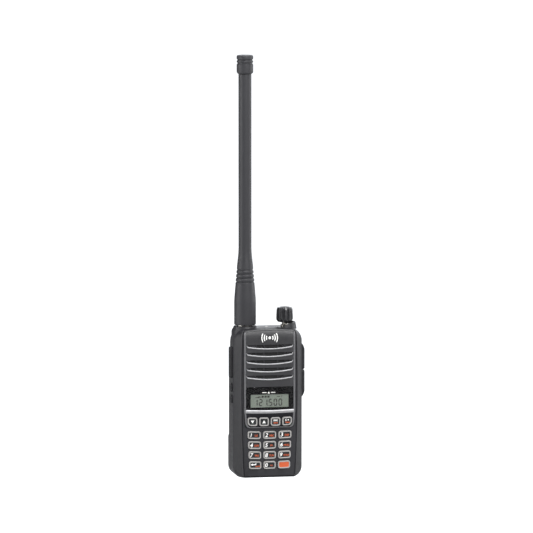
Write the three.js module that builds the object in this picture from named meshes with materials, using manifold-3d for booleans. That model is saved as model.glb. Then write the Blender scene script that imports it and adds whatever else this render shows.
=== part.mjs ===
// A handheld VHF airband transceiver with its whip antenna, battery pack and belt clip, as an assembly
// of separate pieces. Millimetres: +X is the reader's right facing the front, +Y runs from the front to
// the back and +Z is up. The origin is the middle of the casing's foot, on the surface it stands on.
import * as THREE from "three";
import { mergeVertices } from "three/addons/utils/BufferGeometryUtils.js";
import Module from "manifold-3d";

const wasm = await Module();
wasm.setup();

// ---------------------------------------------------------------- driving dimensions

const BODY_WIDTH = 52; // widest part of the casing
const BODY_HEIGHT = 112; // top edge of the front cover
const CASE_DEPTH = 21; // front face to the back wall that the battery lies on
const BATTERY_DEPTH = 14; // back wall to the battery's own back
const WALL = 1.6; // moulded walls
const BACK_WALL = 3.4; // die-cast back wall, thick enough for the battery rail slots
const FIT = 0.2; // free gap around pieces that move or slide
const TOUCH = 0.1; // gap between pieces that rest on each other

const FACE_Y = -CASE_DEPTH / 2; // plane of the keypad face
const FACE_STEP = 0.6; // rounded edge around the keypad face
const BEVEL_DEPTH = 6.5; // how far back the slanted flanks run
const SEAM_DEPTH = 8.5; // parting line between front cover and rear case
const FACE_INSET = 4.5; // flank width at the widest part of the face
const FACE_WAIST = 1.8; // how much narrower the face is at the foot
const FLANK_STEP = 0.6; // the flanks end this far inside the casing's sides
const WAIST_HEIGHT = 0.6; // where the face is widest, as a share of the height
const DECK_DROP = 1; // the top deck lies this far under the front cover's edge
const FOOT_CORNER = { x: 6.2, z: 7.5 }; // rounded lower corners of the casing
const HEAD_CORNER = { x: 8, z: 10.5 }; // rounded shoulders of the casing
const PACK_CORNER = { x: 5.5, z: 6.5 }; // rounded lower corners of the battery

// The margins of the keys are measured to the edge of the face or panel that they stand in.
const KEY = { height: 5.8, gap: 1.75, margin: 4.5, pitchZ: 7.5, corner: 1.7, proud: 1 };
const KEY_SMILE = 0.0015; // the rows of keys curve upwards to both sides: rise per mm squared
const KEY_NARROWING = 0.02; // each lower row of keys is this share narrower
const FIRST_ROW_Z = 10; // centre of the lowest row of number keys
const FUNCTION_KEY = { height: 6.4, gap: 1.3, margin: 2.55, corner: 1.6, proud: 0.9 };
const KEY_EDGE = 0.25; // rounded front edge of a key
const KEY_RECESS = 0.5; // the function keys stand in a recess of the panel
const KEY_FLANGE = { rim: 0.55, thick: 0.8 }; // the hidden flange that keeps a key captive
const KEY_TRAVEL = 0.5;
const MAT_THICK = 0.8; // rubber mat under the keys
const BOARD_THICK = 1.2;

const PANEL = { thick: 1.3, edge: 0.45, margin: 2.2, foot: 4.5, head: 1.6, recess: 0.9, rim: 0.9 };
const PANEL_TAPER = { height: 13, slope: 0.09 }; // the panel narrows towards its foot
const PANEL_GAP = 2.2; // number keys to the panel's lower edge
const FUNCTION_GAP = 5; // panel's lower edge to the middle of the function keys
const TRIM = { rise: 11.1, height: 2.6, proud: 0.55 };
const WINDOW_HEIGHT = 17.2;
const LCD = { margin: 4.05, height: 9.7, rise: 9.45 }; // margin to the window's edge
const SLOT = { count: 5, height: 2.7, end: 1.1, margin: 2, first: 5.95, pitch: 5.72 };
const SPEAKER = { margin: 2, rim: 1.9, depth: 9.8 }; // margin to the panel's edge, rim behind the cover
const MICROPHONE = { inset: 1.6, rise: 2.8, hole: 0.5, capsule: 2 };

const SEAL_WIDTH = 1;

const PTT = { drop: 14.6, height: 23.2, proud: 1.9, travel: 1.2 };
const SIDE_KEY = { height: 5.8, proud: 1.3, travel: 0.8, upperDrop: 42.1, lowerDrop: 50.7 };
const SIDE_KEY_MARGIN = { front: 1.3, back: 0.4 }; // seam to side keys, side keys to the back wall
const COVER = { drop: 12.6, flap: 19.4, tab: 20.6, proud: 2.3 };

const TOP_SETBACK = 6.5; // antenna and knob axes, measured back from the seam
const ANTENNA = { inset: 10.3, boot: 8.1, rod: 4.8, tip: 6.15, rise: 203.4 }; // rise above the deck
const PEDESTAL = { flare: 1.9, rise: 1.9, root: 4 }; // rise above the deck, root below it
const KNOB = { inset: 11.8, radius: 6.35, rise: 4.3, height: 10.8, lobes: 12 };
const BUSHING = { radius: 3, bore: 2.1, rise: 2.6 };
const SHAFT_RADIUS = 1.9;

const BATTERY = { height: 88, inset: 1, gap: 0.3, wall: 1.5, plate: 2, grip: 0.6, gripTop: 29 };
const BATTERY_RIBS = { count: 4, low: 8, pitch: 4, height: 1.2, depth: 0.5 }; // grooves in its back
const BLOCK = { inset: 2.5, setback: 4, edge: 2, corner: 4 }; // the block above the battery
const RAIL = { inset: 6, neck: 2.6, head: 5.5, headThick: 0.9, skin: 0.9 };
const LATCH = { width: 9.8, height: 4.7, tooth: 6, travel: 2, setback: 4.5 }; // setback from the seam
const CLIP = { width: 18, standoff: 4.6, thick: 1.8, pivotOut: 5, pivotDrop: 13, length: 62, pin: 0.95 };

// ---------------------------------------------------------------- derived stations

const HALF = BODY_WIDTH / 2;
const CASE_BACK_Y = FACE_Y + CASE_DEPTH;
const CASE_INNER_Y = CASE_BACK_Y - BACK_WALL;
const SEAM_Y = FACE_Y + SEAM_DEPTH;
const COVER_INNER_Y = FACE_Y + WALL;
const DECK_Z = BODY_HEIGHT - DECK_DROP;
const ROWS = 4;
const COLUMNS = 3;
const rowZ = (row) => FIRST_ROW_Z + row * KEY.pitchZ;
const FACE_WIDEST_Z = WAIST_HEIGHT * BODY_HEIGHT;
const faceHalfAt = (z) => HALF - FACE_INSET - FACE_WAIST * ((z - FACE_WIDEST_Z) / FACE_WIDEST_Z) ** 2;
const KEY_WIDTH = (2 * (faceHalfAt(rowZ(ROWS - 1)) - KEY.margin) - (COLUMNS - 1) * KEY.gap) / COLUMNS;
const KEY_PITCH = KEY_WIDTH + KEY.gap;
const PANEL_LOW = rowZ(ROWS - 1) + KEY.height / 2 + PANEL_GAP;
const PANEL_HIGH = BODY_HEIGHT - 0.6;
const PANEL_HALF = HALF - FACE_INSET - PANEL.margin;
const FUNCTION_KEYS = 4;
const FUNCTION_SPAN = 2 * (PANEL_HALF - FUNCTION_KEY.margin);
const FUNCTION_WIDTH = (FUNCTION_SPAN - (FUNCTION_KEYS - 1) * FUNCTION_KEY.gap) / FUNCTION_KEYS;
const FUNCTION_PITCH = FUNCTION_WIDTH + FUNCTION_KEY.gap;
const PANEL_BACK_Y = FACE_Y - 0.05;
const PANEL_FRONT_Y = PANEL_BACK_Y - PANEL.thick;
const FUNCTION_Z = PANEL_LOW + FUNCTION_GAP;
const TRIM_LOW = PANEL_LOW + TRIM.rise;
const WINDOW_LOW = TRIM_LOW + TRIM.height + TOUCH;
const WINDOW_HIGH = WINDOW_LOW + WINDOW_HEIGHT;
const WINDOW_HALF = PANEL_HALF - PANEL.rim;
const RECESS_Y = PANEL_FRONT_Y + PANEL.recess; // floor of the recess that holds window and trim
const LCD_Z = TRIM_LOW + LCD.rise;
const LCD_WIDTH = 2 * (WINDOW_HALF - LCD.margin);
// The largest speaker that fits both across the panel and over the field of slots.
const SPEAKER_FLANGE = Math.min(PANEL_HALF - SPEAKER.margin, 3 * SLOT.pitch);
const SPEAKER_OPENING = SPEAKER_FLANGE - SPEAKER.rim;
const SLOT_LOW = WINDOW_HIGH + SLOT.first;
const SPEAKER_Z = SLOT_LOW + 2 * SLOT.pitch + SLOT.height / 2;
const MIC = { x: -(PANEL_HALF - MICROPHONE.inset), z: WINDOW_HIGH + MICROPHONE.rise };
const KEY_BACK_Y = COVER_INNER_Y + TOUCH + KEY_FLANGE.thick;
const MAT_Y = KEY_BACK_Y + KEY_TRAVEL + TOUCH;
const KEY_BOARD_Y = MAT_Y + MAT_THICK + FIT;
const MAIN_BOARD_Y = CASE_INNER_Y - 1 - BOARD_THICK;
const BATTERY_HALF = HALF - BATTERY.inset;
const BATTERY_FRONT_Y = CASE_BACK_Y + BATTERY.gap;
const BATTERY_BACK_Y = CASE_BACK_Y + BATTERY_DEPTH;
const BLOCK_BACK_Y = BATTERY_BACK_Y - BLOCK.setback;
const BLOCK_LOW = BATTERY.height + 2 * FIT;
const TOP_Y = SEAM_Y + TOP_SETBACK;
const ANTENNA_X = -(HALF - ANTENNA.inset);
const KNOB_X = HALF - KNOB.inset;
const KNOB_LOW = DECK_Z + KNOB.rise;
const ANTENNA_TOP = DECK_Z + ANTENNA.rise;
const SIDE_Y = [SEAM_Y + SIDE_KEY_MARGIN.front, CASE_INNER_Y - SIDE_KEY_MARGIN.back];
const SIDE_KEY_DEPTH = SIDE_Y[1] - SIDE_Y[0];
const PIVOT = { y: BLOCK_BACK_Y + CLIP.pivotOut, z: BODY_HEIGHT - CLIP.pivotDrop };

// ---------------------------------------------------------------- colours

const finish = (color, roughness, metalness = 0) =>
  new THREE.MeshStandardMaterial({ color, roughness, metalness });
const CASING = finish(0x2b2b2e, 0.6);
const PANEL_FINISH = finish(0x3a3a3e, 0.55);
const GLOSS = finish(0x0b0b0c, 0.12);
const LCD_FINISH = finish(0x96a294, 0.3);
const SILVER = finish(0xc9c9c8, 0.3, 0.7);
const KEY_FINISH = finish(0x9fa09c, 0.5);
const RUBBER = finish(0x262629, 0.8);
const WHIP = finish(0x37373a, 0.7);
const NICKEL = finish(0xb8b6b0, 0.25, 1);
const BOARD = finish(0x1f5a35, 0.5);
const MESH_CLOTH = finish(0x0e0e0f, 0.95);
const CELL = finish(0x2c4e86, 0.4);
const AMBER = finish(0xd8d4c8, 0.4);

// ---------------------------------------------------------------- solid helpers

/** A manifold-3d solid from a closed three.js geometry. */
function solid(geometry) {
  const bare = geometry.index ? geometry.toNonIndexed() : geometry.clone();
  bare.deleteAttribute("normal");
  bare.deleteAttribute("uv");
  const merged = mergeVertices(bare, 1e-4);
  const triVerts = new Uint32Array(merged.index.array);
  const vertProperties = new Float32Array(merged.attributes.position.array);
  const made = new wasm.Manifold(new wasm.Mesh({ numProp: 3, vertProperties, triVerts }));
  if (made.volume() >= 0) return made;
  for (let i = 0; i < triVerts.length; i += 3) {
    [triVerts[i + 1], triVerts[i + 2]] = [triVerts[i + 2], triVerts[i + 1]];
  }
  return new wasm.Manifold(new wasm.Mesh({ numProp: 3, vertProperties, triVerts }));
}

/** A three.js geometry from a manifold-3d solid. */
function geometryOf(made) {
  const mesh = made.getMesh();
  const position = new THREE.BufferAttribute(new Float32Array(mesh.vertProperties), 3);
  return new THREE.BufferGeometry()
    .setAttribute("position", position)
    .setIndex(new THREE.BufferAttribute(new Uint32Array(mesh.triVerts), 1));
}

const middleOf = ([a, b]) => (a + b) / 2;
const union = (...parts) => parts.flat().reduce((a, b) => a.add(b));
const cut = (from, ...tools) => tools.flat().reduce((a, b) => a.subtract(b), from);

function box([x0, x1], [y0, y1], [z0, z1]) {
  const g = new THREE.BoxGeometry(x1 - x0, y1 - y0, z1 - z0);
  return solid(g.translate((x0 + x1) / 2, (y0 + y1) / 2, (z0 + z1) / 2));
}

/** A cylinder along an axis ("x", "y" or "z") from one station to another, through a point. */
function rod(axis, radius, [from, to], [u, v], sides = 24) {
  const g = new THREE.CylinderGeometry(radius, radius, to - from, sides);
  const middle = (from + to) / 2;
  if (axis === "x") return solid(g.rotateZ(Math.PI / 2).translate(middle, u, v));
  if (axis === "y") return solid(g.translate(u, middle, v));
  return solid(g.rotateX(Math.PI / 2).translate(u, v, middle));
}

/** A turned solid about a vertical axis: the profile is [radius, z] pairs that close on the axis. */
function turned(profile, sides = 24) {
  const points = profile.map(([r, z]) => new THREE.Vector2(r, z));
  return solid(new THREE.LatheGeometry(points, sides).rotateX(Math.PI / 2));
}

/** A solid lofted through matching outlines of [x, z] points, each at its own y. */
function loft(outlines) {
  const clockwise = THREE.ShapeUtils.area(outlines[0].points.map(([x, z]) => new THREE.Vector2(x, z))) < 0;
  const rings = clockwise ? outlines.map(({ y, points }) => ({ y, points: points.toReversed() })) : outlines;
  const count = rings[0].points.length;
  const position = rings.flatMap(({ y, points }) => points.flatMap(([x, z]) => [x, y, z]));
  const index = [];
  for (let ring = 0; ring + 1 < rings.length; ring++) {
    for (let i = 0; i < count; i++) {
      const a = ring * count + i;
      const b = ring * count + ((i + 1) % count);
      index.push(a, b, a + count, b, b + count, a + count);
    }
  }
  const cap = (ring, flip) => {
    const flat = rings[ring].points.map(([x, z]) => new THREE.Vector2(x, z));
    for (const [a, b, c] of THREE.ShapeUtils.triangulateShape(flat, [])) {
      const face = flip ? [c, b, a] : [a, b, c];
      index.push(...face.map((i) => i + ring * count));
    }
  };
  cap(0, true);
  cap(rings.length - 1, false);
  const geometry = new THREE.BufferGeometry()
    .setAttribute("position", new THREE.Float32BufferAttribute(position, 3))
    .setIndex(index);
  return solid(geometry);
}

/** An outline of [x, z] points extruded from one y to another. */
const plate = (points, [y0, y1]) => loft([{ y: y0, points }, { y: y1, points }]);

/** A rounded rectangle as [x, z] points. */
function roundedRect(x, z, width, height, corner, steps = 2) {
  const points = [];
  const corners = [[1, -1, -90], [1, 1, 0], [-1, 1, 90], [-1, -1, 180]];
  for (const [sx, sz, start] of corners) {
    for (let i = 0; i <= steps; i++) {
      const angle = THREE.MathUtils.degToRad(start + (90 * i) / steps);
      points.push([
        x + sx * (width / 2 - corner) + corner * Math.cos(angle),
        z + sz * (height / 2 - corner) + corner * Math.sin(angle),
      ]);
    }
  }
  return points;
}

/** A mirrored casing outline: halfAt gives the half-width at a height, between low and high. */
function outline({ halfAt, low, high, foot, head, stations }) {
  const steps = 5;
  const right = [];
  for (let i = 0; i <= steps; i++) {
    const angle = (Math.PI / 2) * (i / steps) - Math.PI / 2;
    const z = low + foot.z + foot.z * Math.sin(angle);
    right.push([halfAt(low + foot.z) - foot.x + foot.x * Math.cos(angle), z]);
  }
  for (const share of stations) {
    const z = low + foot.z + share * (high - head.z - low - foot.z);
    right.push([halfAt(z), z]);
  }
  for (let i = 0; i <= steps; i++) {
    const angle = (Math.PI / 2) * (i / steps);
    const z = high - head.z + head.z * Math.sin(angle);
    right.push([halfAt(high - head.z) - head.x + head.x * Math.cos(angle), z]);
  }
  return [...right, ...right.map(([x, z]) => [-x, z]).reverse()];
}

const STATIONS = [0.12, 0.3, 0.5, 0.7, 0.88];

/** The keypad face's outline, pulled in by an inset. */
function faceOutline(inset) {
  const halfAt = (z) => faceHalfAt(z) - inset;
  const foot = { x: 0.8, z: 0.8 };
  const head = { x: 1.4, z: 7 };
  return outline({
    halfAt, low: 0.6 + inset, high: BODY_HEIGHT - 0.4 - inset, foot, head, stations: STATIONS,
  });
}

/** The casing's outline at its sides, pulled in by an inset. */
function sideOutline(inset, high = BODY_HEIGHT, narrower = 0) {
  const halfAt = () => HALF - narrower - inset;
  const foot = { x: FOOT_CORNER.x - inset, z: FOOT_CORNER.z - inset };
  const head = { x: HEAD_CORNER.x - inset, z: HEAD_CORNER.z - inset };
  return outline({ halfAt, low: inset, high: high - inset, foot, head, stations: STATIONS });
}

// ---------------------------------------------------------------- the assembly

const radio = new THREE.Group();

/** Adds a named mesh to a group, made from a solid. */
function add(name, made, material, group = radio, [x, y, z] = [0, 0, 0]) {
  const mesh = new THREE.Mesh(geometryOf(made), material);
  mesh.name = name;
  mesh.position.set(x, y, z);
  group.add(mesh);
}

// ---------------------------------------------------------------- keys

/** Every key of the face: its name, its middle and its size. */
function keyTable() {
  const names = [
    ["enter_key", "key_0", "squelch_key"],
    ["key_7", "key_8", "key_9"],
    ["key_4", "key_5", "key_6"],
    ["key_1", "key_2", "key_3"],
  ];
  const keys = [];
  for (let row = 0; row < ROWS; row++) {
    const share = 1 - KEY_NARROWING * (ROWS - 1 - row);
    for (let column = 0; column < COLUMNS; column++) {
      const x = (column - 1) * KEY_PITCH * share;
      const z = rowZ(row) + KEY_SMILE * x * x;
      keys.push({ name: names[row][column], x, z, ...KEY, width: KEY_WIDTH * share });
    }
  }
  ["down_key", "up_key", "mode_key", "clear_key"].forEach((name, i) => {
    const x = (i - (FUNCTION_KEYS - 1) / 2) * FUNCTION_PITCH;
    const z = FUNCTION_Z + KEY_SMILE * x * x;
    keys.push({ name, x, z, onPanel: true, ...FUNCTION_KEY, width: FUNCTION_WIDTH });
  });
  return keys;
}

/** A key's outline around its own middle, grown by a margin and bent along its row's curve. */
function keyOutline(key, grow) {
  const corner = Math.max(key.corner + grow, 0.5);
  return roundedRect(0, 0, key.width + 2 * grow, key.height + 2 * grow, corner)
    .map(([x, z]) => [x, z + KEY_SMILE * ((key.x + x) ** 2 - key.x ** 2)]);
}

/** The opening that a key moves in. */
const keyHole = (key, depth) => plate(keyOutline(key, FIT), depth).translate([key.x, 0, key.z]);

/** A key cap with its hidden flange, around its own middle, with y in the radio's frame. */
function keySolid(key) {
  const surface = key.onPanel ? PANEL_FRONT_Y + KEY_RECESS : FACE_Y;
  const flangeY = key.onPanel ? FACE_Y + TOUCH : COVER_INNER_Y + TOUCH;
  const front = surface - key.proud;
  const cap = loft([
    { y: front, points: keyOutline(key, -KEY_EDGE) },
    { y: front + KEY_EDGE, points: keyOutline(key, 0) },
    { y: KEY_BACK_Y, points: keyOutline(key, 0) },
  ]);
  return union(cap, plate(keyOutline(key, KEY_FLANGE.rim), [flangeY, flangeY + KEY_FLANGE.thick]));
}

// ---------------------------------------------------------------- front cover and its panel

function frontCover(keys) {
  const outer = loft([
    { y: FACE_Y, points: faceOutline(FACE_STEP) },
    { y: FACE_Y + FACE_STEP, points: faceOutline(0) },
    { y: FACE_Y + BEVEL_DEPTH, points: sideOutline(0, BODY_HEIGHT, FLANK_STEP) },
    { y: SEAM_Y, points: sideOutline(0) },
  ]);
  const inner = loft([
    { y: COVER_INNER_Y, points: faceOutline(WALL) },
    { y: FACE_Y + BEVEL_DEPTH, points: sideOutline(WALL, BODY_HEIGHT, FLANK_STEP) },
    { y: SEAM_Y - 0.8, points: sideOutline(WALL) },
    { y: SEAM_Y + 1, points: sideOutline(WALL) },
  ]);
  const through = [FACE_Y - 1, COVER_INNER_Y + 1];
  const functionWidth = FUNCTION_SPAN + 2 * (KEY_FLANGE.rim + FIT) + 0.3;
  return cut(
    outer,
    inner,
    rod("y", SPEAKER_OPENING, through, [0, SPEAKER_Z], 40),
    plate(roundedRect(0, LCD_Z, LCD_WIDTH + 2.6, LCD.height + 3.2, 0.6, 1), through),
    plate(roundedRect(0, FUNCTION_Z + 0.2, functionWidth, FUNCTION_KEY.height + 2.2, 1, 2), through),
    keys.filter((key) => !key.onPanel).map((key) => keyHole(key, through)),
    rod("y", MICROPHONE.hole + TOUCH, through, [MIC.x, MIC.z], 12),
    pedestal(FIT),
    knobGuard(FIT),
    socketHoles(),
  );
}

/** The raised panel's outline, pulled in by an inset: a shield with a rounded foot. */
function panelOutline(inset) {
  const taperTop = PANEL_LOW + PANEL_TAPER.height;
  const halfAt = (z) => PANEL_HALF - inset - Math.max(0, taperTop - z) * PANEL_TAPER.slope;
  return outline({
    halfAt,
    low: PANEL_LOW + inset,
    high: PANEL_HIGH - inset,
    foot: { x: PANEL.foot - inset, z: PANEL.foot - inset },
    head: { x: PANEL.head - inset / 2, z: PANEL.head - inset / 2 },
    stations: [0.05, 0.13, 0.35, 0.6, 0.85],
  });
}

/** One speaker slot: a straight upper edge over a lower lip that rises to both ends. */
function slotPoints(lipZ) {
  const half = PANEL_HALF - SLOT.margin;
  const top = lipZ + SLOT.height;
  const steps = 10;
  const lip = [];
  for (let i = 0; i <= steps; i++) {
    const share = (2 * i) / steps - 1;
    const deep = SLOT.end + (SLOT.height - SLOT.end) * (1 - share * share);
    lip.push([share * half, top - deep]);
  }
  return [...lip, [half, top], [-half, top]];
}

function speakerPanel(keys) {
  const blank = loft([
    { y: PANEL_FRONT_Y, points: panelOutline(PANEL.edge) },
    { y: PANEL_FRONT_Y + PANEL.edge, points: panelOutline(0) },
    { y: PANEL_BACK_Y, points: panelOutline(0) },
  ]);
  const through = [PANEL_FRONT_Y - 1, PANEL_BACK_Y + 1];
  const above = PANEL_FRONT_Y - 1;
  const slots = Array.from({ length: SLOT.count }, (_, i) =>
    plate(slotPoints(SLOT_LOW + i * SLOT.pitch), through));
  const keyFloor = PANEL_FRONT_Y + KEY_RECESS;
  const keyRecess = roundedRect(0, FUNCTION_Z + 0.4, FUNCTION_SPAN + 1.2, FUNCTION_KEY.height + 2.2, 3, 4);
  const slit = box([-PANEL_HALF - 1, MIC.x + 1], [above, PANEL_FRONT_Y + 0.7], [MIC.z - 0.4, MIC.z + 0.4]);
  return cut(
    blank,
    slots,
    box([-WINDOW_HALF, WINDOW_HALF], [above, RECESS_Y], [TRIM_LOW - TOUCH, WINDOW_HIGH + TOUCH]),
    plate(roundedRect(0, LCD_Z, LCD_WIDTH + 0.6, LCD.height + 0.6, 0.5, 1), through),
    plate(keyRecess, [above, keyFloor]),
    keys.filter((key) => key.onPanel).map((key) => keyHole(key, through)),
    slit,
    rod("y", MICROPHONE.hole, through, [MIC.x, MIC.z], 12),
  );
}

/** The bright half-round strip under the window. */
function trimBar() {
  const half = WINDOW_HALF - FIT;
  const back = RECESS_Y - TOUCH;
  const front = PANEL_FRONT_Y - TRIM.proud;
  const middle = TRIM_LOW + TRIM.height / 2;
  const section = new THREE.Shape();
  section.moveTo(back, TRIM_LOW);
  section.lineTo(back, TRIM_LOW + TRIM.height);
  section.lineTo(front + 0.7, TRIM_LOW + TRIM.height);
  section.quadraticCurveTo(front - 0.3, middle, front + 0.7, TRIM_LOW);
  const g = new THREE.ExtrudeGeometry(section, { depth: 2 * half, bevelEnabled: false, curveSegments: 8 });
  // The section's x is the radio's y and its y is z; the extrusion runs along X.
  const basis = new THREE.Matrix4().set(0, 0, 1, -half, 1, 0, 0, 0, 0, 1, 0, 0, 0, 0, 0, 1);
  return solid(g.applyMatrix4(basis));
}

function addFront(keys) {
  add("front_cover", frontCover(keys), CASING);
  add("speaker_panel", speakerPanel(keys), PANEL_FINISH);
  const windowX = [-WINDOW_HALF + FIT, WINDOW_HALF - FIT];
  const windowY = [PANEL_FRONT_Y + TOUCH / 2, RECESS_Y - TOUCH / 2];
  add("display_window", box(windowX, windowY, [WINDOW_LOW, WINDOW_HIGH]), GLOSS);
  add("trim_bar", trimBar(), SILVER);
  for (const key of keys) add(key.name, keySolid(key), KEY_FINISH, radio, [key.x, 0, key.z]);

  const glassHalf = LCD_WIDTH / 2;
  const moduleX = [-glassHalf - 1, glassHalf + 1];
  const moduleZ = [LCD_Z - LCD.height / 2 - 1.2, LCD_Z + LCD.height / 2 + 1.2];
  const glassZ = [LCD_Z - LCD.height / 2, LCD_Z + LCD.height / 2];
  const glass = box([-glassHalf, glassHalf], [RECESS_Y + 0.05, FACE_Y + 0.3], glassZ);
  add("lcd_module", union(glass, box(moduleX, [FACE_Y + 0.1, COVER_INNER_Y + 0.2], moduleZ)), LCD_FINISH);
  const backlightY = [COVER_INNER_Y + 0.4, MAT_Y];
  add("lcd_backlight", box(moduleX, backlightY, moduleZ), AMBER);

  const matTop = FUNCTION_Z + FUNCTION_KEY.height / 2 + 1.4;
  const matLow = FIRST_ROW_Z - KEY.height / 2 - 1.2;
  const matHalf = KEY_PITCH + KEY_WIDTH / 2;
  add("keypad_mat", box([-matHalf, matHalf], [MAT_Y, MAT_Y + MAT_THICK], [matLow, matTop]), RUBBER);
  const boardZ = [matLow, SPEAKER_Z - SPEAKER_FLANGE - 1.6];
  add("key_board", box([-matHalf - 1, matHalf + 1], [KEY_BOARD_Y, KEY_BOARD_Y + BOARD_THICK], boardZ), BOARD);
}

// ---------------------------------------------------------------- speaker and microphone

/** Turns a solid that was made about the vertical axis so that its foot faces the front. */
const facingBack = (made, y, z) => made.rotate([-90, 0, 0]).translate([0, y, z]);

function addSound() {
  const { depth } = SPEAKER;
  const flange = SPEAKER_FLANGE;
  const frontY = COVER_INNER_Y + TOUCH;
  const frame = turned([
    [0, depth - 5], [8.8, depth - 5], [flange - 2.7, 0.9], [flange - 1.7, 0], [flange, 0], [flange, 1],
    [flange - 1.7, 1], [9.6, depth - 4], [8.2, depth - 4], [8.2, depth], [0, depth],
  ]);
  const cone = turned([
    [0, 1.6], [4.2, 2.5], [flange - 3.2, 0.2], [flange - 3.2, 0.5], [4, 3.2], [0, 3.2],
  ]);
  add("speaker_driver", facingBack(frame, frontY, SPEAKER_Z), NICKEL);
  add("speaker_cone", facingBack(cone, frontY, SPEAKER_Z), MESH_CLOTH);
  const clothY = [FACE_Y + TOUCH, FACE_Y + 0.6];
  add("speaker_mesh", rod("y", SPEAKER_OPENING - FIT, clothY, [0, SPEAKER_Z], 40), MESH_CLOTH);
  const capsuleY = [COVER_INNER_Y + FIT, COVER_INNER_Y + 2.4];
  add("microphone", rod("y", MICROPHONE.capsule, capsuleY, [MIC.x, MIC.z], 20), NICKEL);
}

// ---------------------------------------------------------------- rear case

const sideKeys = () => [
  { name: "ptt_button", drop: PTT.drop, height: PTT.height, proud: PTT.proud },
  { name: "side_key_upper", drop: SIDE_KEY.upperDrop, height: SIDE_KEY.height, proud: SIDE_KEY.proud },
  { name: "side_key_lower", drop: SIDE_KEY.lowerDrop, height: SIDE_KEY.height, proud: SIDE_KEY.proud },
];

/** An [x, z] outline turned to lie in the side wall's plane, as [y, z], extruded along X. */
function sidePlate(points, [x0, x1]) {
  return plate(points.map(([y, z]) => [-y, z]), [x0, x1]).rotate([0, 0, -90]);
}

/** The round, flared foot of the antenna on the deck, grown by a gap to cut clearance for it. */
function pedestal(gap = 0) {
  const { flare, rise, root } = PEDESTAL;
  const low = ANTENNA.boot + flare + gap;
  const top = rise + root;
  return turned([[0, 0], [low, 0], [low - 0.5, 3], [low - 1.6, top - 0.1], [0, top - 0.1]])
    .translate([ANTENNA_X, TOP_Y, DECK_Z - root]);
}

/** An upright wall along part of a circle about the knob's axis, flared outwards towards its foot. */
function arcWall({ inner, outer, flare, from, to, rise }) {
  const low = DECK_Z - WALL / 2;
  const high = DECK_Z + rise;
  const ring = turned([[inner, low], [outer + flare, low], [outer, high], [inner, high], [inner, low]]);
  const sector = new THREE.Shape();
  sector.moveTo(0, 0);
  sector.absarc(0, 0, 2 * outer, THREE.MathUtils.degToRad(from), THREE.MathUtils.degToRad(to), false);
  const wedge = new THREE.ExtrudeGeometry(sector, { depth: rise + 4, bevelEnabled: false, curveSegments: 8 });
  return ring.intersect(solid(wedge.translate(0, 0, low - 1)));
}

/**
 * The wall that guards the knob: it rises to a horn on the right, with a low nub on the left.
 * With a gap it is the tool that clears its place, filled in up to the knob's axis.
 */
function knobGuard(gap = 0) {
  const { radius, rise } = KNOB;
  const horn = arcWall({
    inner: gap > 0 ? 0 : radius + 0.5, outer: radius + 1.7 + gap, flare: 1, from: -98, to: 90, rise,
  });
  const slope = box([-20, 20], [-20, 20], [0, 10]).rotate([0, -11, 0]).translate([0, 0, KNOB_LOW - 1.4]);
  const nub = arcWall({
    inner: radius - 0.6 - gap, outer: radius + 0.5 + gap, flare: 0.3, from: 155, to: 205, rise: rise - 1.4,
  });
  return union(cut(horn, slope), nub).translate([KNOB_X, TOP_Y, 0]);
}

/** A rail slot in the back wall, open at the foot: a narrow neck over a wide head. */
function railSlot(x) {
  const top = BATTERY.height - 1.4;
  const neck = RAIL.neck / 2 + FIT;
  const head = RAIL.head / 2 + FIT;
  const headY = [CASE_INNER_Y + RAIL.skin, CASE_INNER_Y + RAIL.skin + RAIL.headThick + 1.5 * FIT];
  return union(
    box([x - neck, x + neck], [headY[0], CASE_BACK_Y + 1], [-1, top]),
    box([x - head, x + head], headY, [-1, top]),
  );
}

const railX = () => BATTERY_HALF - RAIL.inset + 1;
const contactSize = { x: [-6, 6], z: [BATTERY.height - 18, BATTERY.height - 12] };
const latchPocket = {
  x: [-LATCH.width / 2 - FIT, LATCH.width / 2 + FIT],
  y: [SEAM_Y + LATCH.setback, CASE_BACK_Y + 1],
  z: [-1, LATCH.height + 0.9],
};
const SCREW = { x: railX() - 7, z: 4, head: 2, shank: 1 };

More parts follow.
